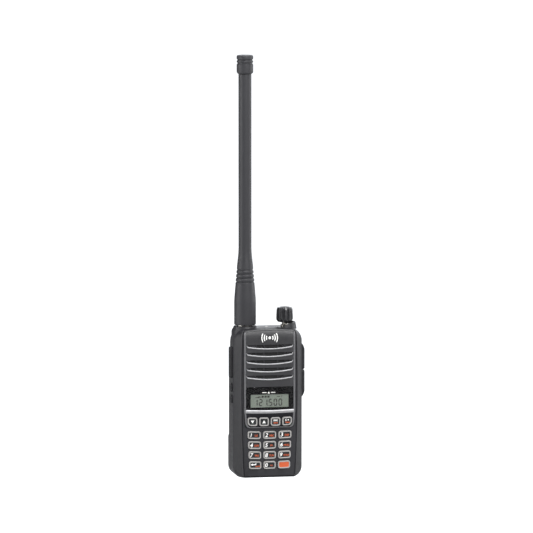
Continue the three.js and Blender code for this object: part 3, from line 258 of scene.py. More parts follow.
def lcd_face(name):
    """Grey-green display glass with the faint lattice of its electrodes."""
    material, tree, shader = new_material(name)
    lattice = place(tree, "TexBrick")
    lattice.offset = 0.0
    turn = place(tree, "Mapping")
    put(turn, "Rotation", (math.radians(90), 0, 0))
    feed(tree, coordinates(tree), turn, "Vector")
    feed(tree, turn.outputs["Vector"], lattice, "Vector")
    put(lattice, "Scale", 1 / (0.9 * MM))
    put(lattice, "Mortar Size", 0.05)
    put(lattice, "Brick Width", 0.5)
    put(lattice, "Row Height", 0.5)
    tone = blend_colours(tree, noise(tree, 6, 2), shade(LCD_GREEN, 0.93), shade(LCD_GREEN, 1.08))
    lined = blend_colours(tree, lattice.outputs["Fac"], tone, shade(LCD_GREEN, 0.86))
    feed(tree, lined, shader, "Base Color")
    put(shader, "Roughness", 0.35)
    return material


def clear_pane(name):
    """Clear acrylic: light passes straight through, and a slanted view mirrors more than a square one.

    The layer weight gives the same mirror share on both faces of the pane, so nothing behind it goes dark.
    """
    material, tree, shader = new_material(name)
    tree.nodes.remove(shader)
    through = place(tree, "BsdfTransparent")
    gloss = place(tree, "BsdfGlossy")
    facing = place(tree, "LayerWeight").outputs["Facing"]
    uneven_gloss(tree, gloss, 9, 3, 0.0, 0.02)
    mix = place(tree, "MixShader")
    feed(tree, fit(tree, facing, (0.3, 1), (0.008, 0.4)), mix, "Fac")
    feed(tree, through.outputs["BSDF"], mix, 1)
    feed(tree, gloss.outputs["BSDF"], mix, 2)
    tree.links.new(mix.outputs["Shader"], tree.nodes["Material Output"].inputs["Surface"])
    return material


CASING = moulded("casing plastic", BLACK_PLASTIC, 0.46)
PANEL_LOOK = moulded("panel plastic", PANEL_PLASTIC, 0.36, grain=0.25, gleam=0.42)
# Key bed: the recessed floor around the function keys, coloured darker than the panel as painted shade.
KEY_BED_SHADE = moulded("key bed plastic", (0.007, 0.007, 0.009), 0.5, grain=0.25, gleam=0.15)
# Grille lips: black plastic ledges coloured light grey as a painted highlight.
LIP_HIGHLIGHT_LOOK = moulded("grille lip painted highlight", (0.27, 0.27, 0.28), 0.28, depth=0.02, wear=0.5, gleam=0.5)
# Panel rims: beads of the black panel, coloured lighter as a painted highlight.
RIM_HIGHLIGHT_LOOK = moulded("panel rim painted highlight", (0.085, 0.085, 0.09), 0.3, depth=0.02, wear=0.5, gleam=0.5)
RUBBER_LOOK = moulded("rubber", RUBBER_BLACK, 0.62, grain=0.22, depth=0.06, wear=0.15)
WHIP_LOOK = moulded("antenna rubber", WHIP_GREY, 0.5, grain=0.35, depth=0.06, mottle=0.08, wear=0.15)
KNOB_LOOK = moulded("knob plastic", BLACK_PLASTIC, 0.34, grain=0.3, depth=0.02, wear=0.5, gleam=0.6)
KEY_LOOK = moulded("key ring", KEY_RING, 0.42, grain=0.2, depth=0.015, mottle=0.05, wear=0.1)
KEY_DARK = moulded("key centre", KEY_CENTRE, 0.3, grain=0.2, depth=0.01, wear=0.1)
KEY_ORANGE = printed("key orange", ORANGE, 0.4)
INK_WHITE = printed("white ink", WHITE_INK)
INK_ORANGE = printed("orange ink", ORANGE)
INK_DARK = printed("display segment", LCD_INK, 0.3)
MASK_BLACK = printed("window mask", (0.0022, 0.0022, 0.0026), 0.6, 0.05)
PANE_LOOK = clear_pane("window pane")
LCD_LOOK = lcd_face("display glass")
SILVER_LOOK = brushed_metal("satin trim", SILVER, 0.42)
NICKEL_LOOK = brushed_metal("nickel", (0.60, 0.58, 0.54), 0.26)
BOARD_LOOK = patterned("circuit board", (0.012, 0.10, 0.035), (0.05, 0.22, 0.08), 2.4, 0.4, 0.03)
# Speaker mesh: a dark woven mesh, toned darker than the casing, which is partly painted shade inside the
# grille's slots.
MESH_AND_SHADE_LOOK = patterned("speaker mesh", (0.001, 0.001, 0.001), (0.008, 0.008, 0.009), 0.7, 0.7, 0.2)
CELL_LOOK = patterned("cell wrap", (0.02, 0.06, 0.25), (0.03, 0.08, 0.32), 5, 0.35, 0.02)
CONE_LOOK = moulded("speaker cone", (0.03, 0.03, 0.03), 0.8, grain=0.5, depth=0.1)
LABEL_LOOK = printed("blank label", (0.035, 0.035, 0.038), 0.45)
LENS_LOOK = printed("frosted lens", (0.62, 0.60, 0.52), 0.3)


# -------- mesh helpers


def as_front(u, v, depth):
    return (u, depth, v)


def as_side(u, v, depth):
    return (depth, u, v)


def as_top(u, v, depth):
    return (u, v, depth)


def mesh_object(name, points, faces):
    """An object from points in millimetres, with its faces turned outwards."""
    mesh = bpy.data.meshes.new(name)
    mesh.from_pydata([Vector(point) * MM for point in points], [], faces)
    work = bmesh.new()
    work.from_mesh(mesh)
    bmesh.ops.recalc_face_normals(work, faces=work.faces)
    work.to_mesh(mesh)
    work.free()
    return add_object(name, mesh)


def skin(name, rings, closed=False):
    """A solid through rings of matching points. A closed one ends where it began."""
    count = len(rings[0])
    faces = []
    for ring in range(len(rings) if closed else len(rings) - 1):
        start = ring * count
        after = ((ring + 1) % len(rings)) * count
        for i in range(count):
            j = (i + 1) % count
            faces.append((start + i, start + j, after + j, after + i))
    if not closed:
        faces.append(tuple(range(count)))
        faces.append(tuple(range((len(rings) - 1) * count, len(rings) * count)))
    return mesh_object(name, [point for ring in rings for point in ring], faces)


def loft(name, rings, lay=as_front, closed=False):
    """A solid through (depth, outline) rings of matching points."""
    return skin(name, [[lay(u, v, depth) for u, v in outline] for depth, outline in rings], closed)


def plate(name, outline, depth, lay=as_front):
    """A straight-sided solid between two depths."""
    return loft(name, [(depth[0], outline), (depth[1], outline)], lay)


def circle(radius, centre, sides):
    turn = 2 * math.pi / sides
    return [(centre[0] + radius * math.cos(i * turn), centre[1] + radius * math.sin(i * turn))
            for i in range(sides)]


def revolve(name, profile, centre, sides=96, lay=as_top, closed=False):
    """A turned solid: profile is (radius, height) pairs. A closed profile makes a hollow ring."""
    rings = [(height, circle(radius, centre, sides)) for radius, height in profile]
    return loft(name, rings, lay, closed)


def rounded_rect(width, height, corners, centre=(0, 0), steps=6):
    """A rounded rectangle. Its corners are one radius, or four, from the lower right one anticlockwise."""
    radii = corners if isinstance(corners, tuple) else (corners,) * 4
    points = []
    for (sx, sz, start), radius in zip(((1, -1, -90), (1, 1, 0), (-1, 1, 90), (-1, -1, 180)), radii):
        for step in range(steps + 1):
            angle = math.radians(start + 90 * step / steps)
            u = sx * (width / 2 - radius) + radius * math.cos(angle)
            v = sz * (height / 2 - radius) + radius * math.sin(angle)
            points.append((centre[0] + u, centre[1] + v))
    return points


def casing_outline(half_at, low, high, foot, head, stations, steps=14):
    """A mirrored outline whose half-width changes with height. Its foot and head corners are (x, z) radii."""
    right = []
    for step in range(steps + 1):
        angle = math.pi / 2 * (step / steps - 1)
        z = low + foot[1] + foot[1] * math.sin(angle)
        right.append((half_at(low + foot[1]) - foot[0] + foot[0] * math.cos(angle), z))
    for share in stations:
        z = low + foot[1] + share * (high - head[1] - low - foot[1])
        right.append((half_at(z), z))
    for step in range(steps + 1):
        angle = math.pi / 2 * step / steps
        z = high - head[1] + head[1] * math.sin(angle)
        right.append((half_at(high - head[1]) - head[0] + head[0] * math.cos(angle), z))
    return right + [(-x, z) for x, z in reversed(right)]


STATIONS = tuple(step / 16 for step in range(1, 16))


def face_half(z):
    return HALF - 4.5 - 1.8 * ((z - FACE_WIDEST_Z) / FACE_WIDEST_Z) ** 2


def face_outline(inset):
    """The keypad face's outline, pulled in by an inset."""
    return casing_outline(lambda z: face_half(z) - inset, 0.6 + inset, TOP_Z - 0.4 - inset,
                          (max(0.8, 1.2 - inset), max(0.8, 1.2 - inset)), (1.4, 7), STATIONS)


def side_outline(inset, narrower=0.0):
    """The casing's outline at its sides, pulled in by an inset."""
    return casing_outline(lambda z: HALF - narrower - inset, inset, TOP_Z - inset,
                          (6.2 - inset, 7.5 - inset), (8 - inset, 10.5 - inset), STATIONS)


def smiling_outline(half, low, high, steps=24):
    """An outline of a given half width whose lower edge follows the curve of the rows."""
    foot = [half * (2 * i / steps - 1) for i in range(steps + 1)]
    return [(x, low + SMILE * x * x) for x in foot] + [(half, high), (-half, high)]


def box(name, x, y, z):
    return plate(name, [(x[0], z[0]), (x[1], z[0]), (x[1], z[1]), (x[0], z[1])], y)


def rod(name, lay, radius, depth, centre, sides=48):
    return revolve(name, [(radius, depth[0]), (radius, depth[1])], centre, sides, lay)


def settle(piece):
    """Applies a piece's modifiers to its mesh."""
    graph = bpy.context.evaluated_depsgraph_get()
    mesh = bpy.data.meshes.new_from_object(piece.evaluated_get(graph))
    piece.modifiers.clear()
    piece.data = mesh
    return piece


def carve(piece, *tools, operation="DIFFERENCE"):
    """Cuts tools out of a piece, or adds them to it."""
    for tool in tools:
        modifier = piece.modifiers.new("carve", "BOOLEAN")
        modifier.operation = operation
        modifier.solver = "MANIFOLD"
        modifier.object = tool
    settle(piece)
    for tool in tools:
        bpy.data.objects.remove(tool)
    return piece


def smooth(piece):
    for polygon in piece.data.polygons:
        polygon.use_smooth = True


def soften(piece, radius, angle=32):
    """Rounds the sharp edges of a piece and shades it smoothly."""
    smooth(piece)
    bevel = piece.modifiers.new("soft edges", "BEVEL")
    bevel.width = radius * MM
    bevel.segments = 2
    bevel.limit_method = "ANGLE"
    bevel.angle_limit = math.radians(angle)
    bevel.use_clamp_overlap = True
    piece.modifiers.new("even shading", "WEIGHTED_NORMAL").keep_sharp = False
    return piece


def dress(piece, body, material, replaces=()):
    """Gives a new piece its material and body, and hides the CAD nodes that it stands for."""
    smooth(piece)
    if not any(piece.data.materials):
        piece.data.materials.clear()
        piece.data.materials.append(material)
    if not piece.modifiers:
        piece.modifiers.new("even shading", "WEIGHTED_NORMAL").keep_sharp = False
    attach(piece, body)
    if replaces:
        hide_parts(*replaces)


def merge(name, pieces):
    """One object from several."""
    joined = bmesh.new()
    for piece in pieces:
        joined.from_mesh(piece.data)
    mesh = bpy.data.meshes.new(name)
    joined.to_mesh(mesh)
    joined.free()
    for piece in pieces:
        bpy.data.objects.remove(piece)
    return add_object(name, mesh)


CROWN_LOW = 100.0  # the front is flat up to here and curves back above it
CROWN_BACK = 0.00084  # how far it curves back, per mm cubed
CROWN_FADE = 6  # the curve fades out over this distance in front of the seam
ARCH_RISE = 0.4  # the upper edge rises this much at its middle
ARCH_FALL = 1.3  # and falls this much over the half width below
ARCH_HALF = 20


def crowned(piece):
    """Bends the top of a front piece backwards and arches its upper edge."""
    work = bmesh.new()
    work.from_mesh(piece.data)
    cuts = [((0, 0, z), (0, 0, 1)) for z in range(int(CROWN_LOW), int(TOP_Z) + 1)]
    cuts += [((x, 0, 0), (1, 0, 0)) for x in range(-24, 25, 3)]
    for point, normal in cuts:
        everything = work.verts[:] + work.edges[:] + work.faces[:]
        bmesh.ops.bisect_plane(work, geom=everything, dist=1e-7, plane_co=Vector(point) * MM, plane_no=normal)
    for vertex in work.verts:
        x, y, z = (value / MM for value in vertex.co)
        rise = min(1.0, max(0.0, (z - CROWN_LOW) / (TOP_Z - CROWN_LOW)))
        front = min(1.0, max(0.0, (SEAM_Y - y) / CROWN_FADE))
        arch = ARCH_RISE - ARCH_FALL * min(1.0, (x / ARCH_HALF) ** 2)
        y += front * CROWN_BACK * max(0.0, z - CROWN_LOW) ** 3
        z += arch * rise * rise * (3 - 2 * rise)
        vertex.co = Vector((x, y, z)) * MM
    work.to_mesh(piece.data)
    work.free()
    return piece


# -------- keys

DIGIT_KEYS = [f"key_{digit}" for digit in range(10)]
NUMBER_KEYS = DIGIT_KEYS + ["enter_key", "squelch_key"]
FUNCTION_KEYS = ["down_key", "up_key", "mode_key", "clear_key"]
NUMBER_HEIGHT = 5.8
FUNCTION_HEIGHT = 6.4
KEY_CORNER = 1.7
OUTER_CORNER = 3.0  # where a function key follows the panel's rounded foot
FLANGE_RIM = 0.55  # the hidden flange stands this far past the cap
FLANGE_THICK = 0.8
CENTRE_DEPTH = 0.34  # the dark centre lies this far behind the ring's front
PRINT_RISE = 0.05  # and the legend this far in front of the centre
CAP_PROFILE = (  # how far behind the ring's front and past the cap's outline: its side, its ring, its centre
    (0.45, 0), (0.22, -0.06), (0.07, -0.2), (0, -0.38), (0, -0.72), (0.07, -0.86), (0.3, -0.98),
    (CENTRE_DEPTH, -1.1),
)


def key_points(x, z, size, grow, corners):
    """A key's outline, grown by a margin and bent along its row's curve."""
    radii = tuple(max(radius + grow, 0.35) for radius in corners)
    flat = rounded_rect(size[0] + 2 * grow, size[1] + 2 * grow, radii)
    return [(x + u, z + (v + SMILE * ((x + u) ** 2 - x ** 2))) for u, v in flat]


def key_layout(name):
    """A key cap's middle, width and height, and where the key begins and ends along y."""
    x, y, z = span(name)
    width = x[1] - x[0] - 2 * FLANGE_RIM
    height = NUMBER_HEIGHT if name in NUMBER_KEYS else FUNCTION_HEIGHT
    bend = SMILE * ((abs(middle(x)) + width / 2 + FLANGE_RIM) ** 2 - middle(x) ** 2)
    return middle(x), z[1] - bend - height / 2 - FLANGE_RIM, width, height, y


def key_corners(name):
    corners = [KEY_CORNER] * 4
    if name == "down_key":
        corners[3] = OUTER_CORNER
    if name == "clear_key":
        corners[0] = OUTER_CORNER
    return corners


def add_key(name):
    """A key cap with a light ring around a sunken dark centre. Gives the place of its legend."""
    x, z, width, height, depth = key_layout(name)
    front = depth[0]
    ledge = depth[1] - FLANGE_THICK
    profile = [(depth[1], FLANGE_RIM), (ledge, FLANGE_RIM), (ledge, 0)]
    profile += [(front + back, grow) for back, grow in CAP_PROFILE]
    corners = key_corners(name)
    cap = loft(name + "_cap", [(y, key_points(x, z, (width, height), grow, corners)) for y, grow in profile])
    orange = name == "squelch_key"
    cap.data.materials.append(KEY_LOOK)
    cap.data.materials.append(KEY_ORANGE if orange else KEY_DARK)
    for polygon in cap.data.polygons:
        u, y, v = polygon.center / MM
        inside = abs(u - x) < width / 2 - 0.9 and abs(v - z) < height / 2 - 0.2
        if inside and front + 0.2 < y < front + 0.5:
            polygon.material_index = 1
    dress(cap, name, KEY_LOOK, [name])
    return x, z, front + CENTRE_DEPTH - PRINT_RISE


# -------- legends


def lettering(name, text, height, centre, y, slant=0.0, weight=0.0, stretch=1.0):
    """Raised lettering on the front, as a thin mesh."""
    curve = bpy.data.curves.new(name, "FONT")
    curve.body = text
    curve.size = 1.0
    curve.shear = slant
    curve.offset = weight
    curve.extrude = 0.02
    curve.align_x = "CENTER"
    curve.align_y = "CENTER"
    curve.resolution_u = 3
    text_object = add_object(name, curve)
    bpy.context.view_layer.update()
    graph = bpy.context.evaluated_depsgraph_get()
    mesh = bpy.data.meshes.new_from_object(text_object.evaluated_get(graph))
    bpy.data.objects.remove(text_object)
    tall = [vertex.co.y for vertex in mesh.vertices]
    wide = [vertex.co.x for vertex in mesh.vertices]
    share = height / (max(tall) - min(tall))
    mid = ((max(wide) + min(wide)) / 2, (max(tall) + min(tall)) / 2)
    for vertex in mesh.vertices:
        u = (vertex.co.x - mid[0]) * share * stretch
        v = (vertex.co.y - mid[1]) * share
        sunk = 0 if vertex.co.z > 0 else 0.12
        vertex.co = Vector((centre[0] + u, y + sunk, centre[1] + v)) * MM
    return add_object(name, mesh)


def badge(name, outlines, y, depth=0.12):
    """Flat printed shapes on the front: each outline becomes a thin plate."""
    plates = [plate(name, outline, (y, y + depth)) for outline in outlines]
    return merge(name, plates) if len(plates) > 1 else plates[0]


def ink(piece, key, orange=False):
    """Makes a piece the white or orange legend of a key."""
    dress(piece, key, INK_ORANGE if orange else INK_WHITE)


SUBLETTERS = {"key_1": "QZ", "key_2": "ABC", "key_3": "DEF", "key_4": "GHI", "key_5": "JKL", "key_6": "MNO",
              "key_7": "PRS", "key_8": "TUV", "key_9": "WXY", "key_0": "+/-"}


def add_number_legend(name, x, z, y):
    """A white digit at the left of the key and small orange letters at its right."""
    ink(lettering(name + "_digit", name[-1], 3.0, (x - 2.35, z + 0.05), y, 0.2, 0.02), name)
    letters = lettering(name + "_letters", SUBLETTERS[name], 1.5, (x + 1.5, z - 0.35), y, 0.0, 0.02, 0.95)
    ink(letters, name, True)


def add_enter_legend(x, z, y):
    """An arrow that turns back, for enter, over three small orange bars."""
    arrow = [(-3.4, 0.5), (-1.9, 1.5), (-1.9, 0.85), (0.2, 0.85), (0.2, 1.6), (0.8, 1.6), (0.8, 0.15),
             (-1.9, 0.15), (-1.9, -0.5)]
    ink(badge("enter_key_arrow", [[(x + u, z + v) for u, v in arrow]], y), "enter_key")
    bars = [rounded_rect(1.0, 0.9, 0.2, (x + 0.8 + 1.3 * i, z - 0.9), 2) for i in range(3)]
    ink(badge("enter_key_bars", bars, y), "enter_key", True)


def three_dots(x, z):
    return [rounded_rect(0.85, 0.95, 0.25, (x + 1.1 * i, z), 3) for i in range(3)]


def add_function_legends(places):
    """Arrows on the first two keys, and white over orange signs on the other two."""
    for name, sign in (("down_key", -1), ("up_key", 1)):
        x, z, y = places[name]
        triangle = [(x - 1.35, z - 1.05 * sign), (x + 1.35, z - 1.05 * sign), (x, z + 1.15 * sign)]
        ink(badge(name + "_arrow", [triangle], y), name)
    x, z, y = places["mode_key"]
    bars = [rounded_rect(3.2, 0.42, 0.12, (x, z + 0.6 + 0.7 * i), 2) for i in range(2)]
    ink(badge("mode_key_lines", bars, y), "mode_key")
    ink(badge("mode_key_dots", three_dots(x - 1.1, z - 1.0), y), "mode_key", True)
    x, z, y = places["clear_key"]
    ink(lettering("clear_key_letter", "C", 1.6, (x - 0.8, z + 0.9), y, 0.0, 0.03), "clear_key")
    ink(badge("clear_key_mark", [circle(0.5, (x + 0.9, z + 0.95), 16)], y), "clear_key")
    ink(badge("clear_key_dots", three_dots(x - 0.8, z - 0.95), y), "clear_key", True)


def add_keys():
    places = {name: add_key(name) for name in NUMBER_KEYS + FUNCTION_KEYS}
    for name in DIGIT_KEYS:
        add_number_legend(name, *places[name])
    add_enter_legend(*places["enter_key"])
    add_function_legends(places)


def key_holes(names, depth):
    """Cutters for the openings that the keys move in."""
    cutters = []
    for name in names:
        x, z, width, height, _ = key_layout(name)
        cutters.append(plate("hole", key_points(x, z, (width, height), FIT, (KEY_CORNER,) * 4), depth))
    return cutters


# -------- front cover

GUARD_GAP = (9.1, 8.1)  # radii, at its foot and its top, of the room for the wall that guards the knob
FACE_STEPS = (  # how far behind the face and inside its outline: the field's edge and the groove round it
    (0, 1.5), (0.04, 1.32), (0.18, 1.2), (0.75, 1.1), (0.85, 0.95), (0.85, 0.7), (0.55, 0.55), (0.3, 0.42),
    (0.32, 0.2), (0.6, 0),
)


def between(first, second, share):
    """The outline that lies a share of the way from the first to the second."""
    return [(a[0] + (b[0] - a[0]) * share, a[1] + (b[1] - a[1]) * share) for a, b in zip(first, second)]


def add_front_cover():
    """The front shell: a flat keypad field in a groove, slanted flanks, and its openings."""
    flank_end = side_outline(0, FLANK_STEP)
    side = side_outline(0)
    share = (FLANK_BACK_Y - FLANK_EASE - FACE_EDGE_Y) / (FLANK_BACK_Y - FACE_EDGE_Y)
    rings = [(FACE_Y + back, face_outline(inset)) for back, inset in FACE_STEPS]
    rings += [(FLANK_BACK_Y - FLANK_EASE, between(face_outline(0), flank_end, share)),
              (FLANK_BACK_Y, flank_end), (FLANK_BACK_Y + FLANK_EASE, between(flank_end, side, 0.3)),
              (SEAM_Y - 0.2, side), (SEAM_Y, side_outline(0.12))]
    inner_y = FACE_Y + WALL
    hollow = [(inner_y, face_outline(WALL + 0.6)), (FLANK_BACK_Y, side_outline(WALL, FLANK_STEP)),
              (SEAM_Y - 0.8, side_outline(WALL)), (SEAM_Y + 1, side_outline(WALL))]
    through = (FACE_Y - 1, inner_y + 1)
    display = rounded_rect(LCD_X[1] - LCD_X[0] + 0.6, LCD_Z[1] - LCD_Z[0] + 0.8, 0.6, (0, DISPLAY_Z), 2)
    function = rounded_rect(36.6, 8.6, 1, (0, FUNCTION_Z + 0.2), 3)
    collar = PEDESTAL + FIT
    cover = carve(
        loft("front_cover_shell", rings),
        loft("inner", hollow),
        rod("speaker", as_front, MESH_X[1] + FIT, through, (0, SPEAKER_Z), 96),
        plate("display", display, through),
        plate("function", function, through),
        *key_holes(NUMBER_KEYS, through),
        revolve("collar gap", [(collar, DECK_Z - 4), (collar - 0.5, DECK_Z - 1),
                               (collar - 1.6, DECK_Z + 1.8)], (ANTENNA_X, TOP_Y)),
        revolve("guard gap", [(GUARD_GAP[0], DECK_Z - 0.8), (GUARD_GAP[1], DECK_Z + 6)], (KNOB_AXIS, TOP_Y)),
    )
    dress(soften(crowned(cover), 0.18), "body", CASING, ["front_cover"])


# -------- panel with its grille

PANEL_FRONT = PANEL_Y[0]
FIELD_Y = PANEL_FRONT + 0.28  # the field between the panel's raised edges
SLOT_COUNT = 5
SLOT_PITCH = 5.72
SLOT_HEIGHT = 2.7  # a slot's height at its middle
SLOT_END = 1.1  # its height at both ends
SLOT_HALF = PANEL_HALF - 2
SLOT_MIDDLE = 2  # the slot at the speaker's middle, counted from the lowest one
BEAD_SIDES = 12
RIM_WIDTH = 0.62


def panel_outline(inset):
    """The panel's outline, pulled in by an inset: a shield with a rounded foot."""
    low, high = PANEL_Z
    taper = low + 13
    foot = 4.5 - inset
    head = 1.6 - inset / 2
    stations = (0.02, 0.04, 0.06, 0.08, 0.1, 0.13, 0.16, 0.2, 0.3, 0.4, 0.5, 0.6, 0.7, 0.8, 0.9, 0.97)
    return casing_outline(lambda z: PANEL_HALF - inset - max(0, taper - z) * 0.09, low + inset, high - inset,
                          (foot, foot), (head, head), stations, 10)


def lip_drop(share):
    """How far under its straight upper edge a slot's lower lip lies, at a share of its half length."""
    return SLOT_END + (SLOT_HEIGHT - SLOT_END) * (1 - share * share)


def slot_outline(top, steps=28):
    shares = [2 * step / steps - 1 for step in range(steps + 1)]
    lower = [(share * SLOT_HALF, top - lip_drop(share)) for share in shares]
    return lower + [(SLOT_HALF, top), (-SLOT_HALF, top)]


def slot_tops():
    first = SPEAKER_Z - SLOT_MIDDLE * SLOT_PITCH + SLOT_HEIGHT / 2
    return [first + SLOT_PITCH * i for i in range(SLOT_COUNT)]


def round_section(sides=BEAD_SIDES):
    """The cosines and sines of a round section's corners."""
    return [(math.cos(2 * math.pi * k / sides), math.sin(2 * math.pi * k / sides)) for k in range(sides)]


def add_lip(name, top, steps=44):
    """The rounded ledge along a slot's lower edge, hooked up at both ends. Its light grey colour is a painted
    highlight.
    """
    sections = []
    for step in range(steps + 1):
        share = 2 * step / steps - 1
        hook = 1.1 * max(0, (abs(share) - 0.94) / 0.06) ** 2
        z = top - lip_drop(share) + hook - 0.36
        thick = 0.46 * (1 - 0.5 * max(0, (abs(share) - 0.9) / 0.1) ** 2)
        ring = [(FIELD_Y - 0.1 + 0.42 * c, z + thick * s) for c, s in round_section()]
        sections.append((share * SLOT_HALF * 1.012, ring))
    return loft(name, sections, as_side)


def add_rims():
    """The beads along the panel's left and right edges, coloured lighter than the panel as a painted
    highlight.
    """
    beads = []
    for side in (-1, 1):
        edge = sorted((z, x) for x, z in panel_outline(0.75) if x * side > 0)
        path = [(x, z) for z, x in edge if PANEL_Z[0] + 0.9 < z < PANEL_Z[1] - 1.2]
        rings = []
        for i, (x, z) in enumerate(path):
            before, after = path[max(0, i - 1)], path[min(len(path) - 1, i + 1)]
            run = math.hypot(after[0] - before[0], after[1] - before[1])
            across_x, across_z = (after[1] - before[1]) / run, -(after[0] - before[0]) / run
            wide = RIM_WIDTH * min(1.0, 0.3 + i / 3, 0.3 + (len(path) - 1 - i) / 3)
            rings.append([(x + across_x * wide * c, PANEL_FRONT + 0.26 - 0.34 * s, z + across_z * wide * c)
                          for c, s in round_section()])
        beads.append(skin("bead", rings))
    dress(crowned(merge("panel_rims", beads)), "body", RIM_HIGHLIGHT_LOOK)


PANEL_STEPS = (  # how far behind the panel's front and how far inside its outline, from the side to the field
    (0.55, 0), (0.22, 0.12), (0.05, 0.36), (0, 0.62), (0.03, 0.85), (0.14, 1.08), (0.28, 1.2), (0.28, 1.5),
)
RIB_X = (-10.2, -4.2, 6.2, 11.6)


def add_panel():
    """The shield-shaped panel with its slots, seats and openings, and the grille's lips and ribs."""
    front = PANEL_FRONT
    rings = [(PANEL_Y[1], panel_outline(0))]
    rings += [(front + back, panel_outline(inset)) for back, inset in PANEL_STEPS]
    through = (front - 1, PANEL_Y[1] + 1)
    mic_x, _, mic_z = (middle(stations) for stations in span("microphone"))
    display = rounded_rect(LCD_WIDTH + 0.6, LCD_HEIGHT + 0.6, 0.5, (0, DISPLAY_Z), 2)
    panel = carve(
        loft("panel_shell", rings),
        *[plate("slot", slot_outline(top), through) for top in slot_tops()],
        plate("seat", smiling_outline(WINDOW_X[1] + FIT, TRIM_Z[0] - 0.1, WINDOW_Z[1] + 0.1),
              (through[0], WINDOW_Y[1] + 0.05)),
        plate("display", display, through),
        plate("key floor", rounded_rect(34.6, 8.6, 3.0, (0, FUNCTION_Z + 0.4), 8), (through[0], front + 0.5)),
        *key_holes(FUNCTION_KEYS, through),
        plate("slit", rounded_rect(2.8, 0.8, 0.35, (mic_x - 0.6, mic_z), 4), (through[0], front + 0.9)),
        rod("mic", as_front, 0.5, through, (mic_x, mic_z), 16),
    )
    crowned(panel)
    panel.data.materials.clear()
    panel.data.materials.append(PANEL_LOOK)
    panel.data.materials.append(KEY_BED_SHADE)
    # Recessed faces below the trim take the darker key bed colour: painted shade in the recess.
    for polygon in panel.data.polygons:
        centre = polygon.center / MM
        if centre.z < TRIM_Z[0] and centre.y > FIELD_Y - 0.06:
            polygon.material_index = 1
    dress(soften(panel, 0.12), "body", PANEL_LOOK, ["speaker_panel"])
    dress(merge("grille_lips", [add_lip("lip", top) for top in slot_tops()]), "body", LIP_HIGHLIGHT_LOOK)
    height = (slot_tops()[0] - SLOT_HEIGHT - 0.6, slot_tops()[-1] + 0.6)
    ribs = [box("rib", (x - 0.35, x + 0.35), (front + 0.75, PANEL_Y[1]), height) for x in RIB_X]
    dress(merge("grille_ribs", ribs), "body", CASING)


# -------- marks, window, display, trim


def arc_band(centre, radius, thick, start, end, steps=10):
    """A curved band of a given thickness, between two angles in degrees."""
    def at(r, angle):
        return (centre[0] + r * math.cos(math.radians(angle)), centre[1] + r * math.sin(math.radians(angle)))
    angles = [start + (end - start) * i / steps for i in range(steps + 1)]
    return [at(radius - thick / 2, a) for a in angles] + [at(radius + thick / 2, a) for a in reversed(angles)]


def add_marks():
    """Signs that stand for no maker: radio waves over the grille, a bar mark over the display."""
    z = slot_tops()[-1] + 5
    shapes = [circle(1.0, (0, z), 24)]
    for radius in (2.5, 4.2, 5.9):
        shapes.append(arc_band((0, z), radius, 0.7, -32, 32))
        shapes.append(arc_band((0, z), radius, 0.7, 148, 212))
    dress(crowned(badge("wave_mark", shapes, FIELD_Y - 0.06, 0.3)), "body", INK_WHITE)


def segment(width, height, x, z, across):
    """One bar of a digit, with pointed ends."""
    half_w, half_h = width / 2, height / 2
    if across:
        return [(x - half_w, z), (x - half_w + half_h, z - half_h), (x + half_w - half_h, z - half_h),
                (x + half_w, z), (x + half_w - half_h, z + half_h), (x - half_w + half_h, z + half_h)]
    return [(x, z - half_h), (x + half_w, z - half_h + half_w), (x + half_w, z + half_h - half_w),
            (x, z + half_h), (x - half_w, z + half_h - half_w), (x - half_w, z - half_h + half_w)]


DIGIT_PITCH = 3.7
DIGIT_SIZE = (2.0, 4.6)
BAR_THICK = 0.8
LIT = {"0": "abcdef", "1": "bc", "2": "abged", "5": "afgcd"}


def digit_bars(digit, x, z):
    """The lit bars of a seven-bar digit, around its middle."""
    width, height = DIGIT_SIZE
    bars = {name: segment(width, BAR_THICK, x, z + level * height / 2, True)
            for name, level in (("a", 1), ("g", 0), ("d", -1))}
    for name, side, level in (("b", 1, 1), ("c", 1, -1), ("f", -1, 1), ("e", -1, -1)):
        bars[name] = segment(BAR_THICK, height / 2, x + side * width / 2, z + level * height / 4, False)
    return [bars[name] for name in LIT[digit]]


def window_outline(inset):
    return smiling_outline(WINDOW_X[1] - inset, WINDOW_Z[0] + inset, WINDOW_Z[1] - inset)


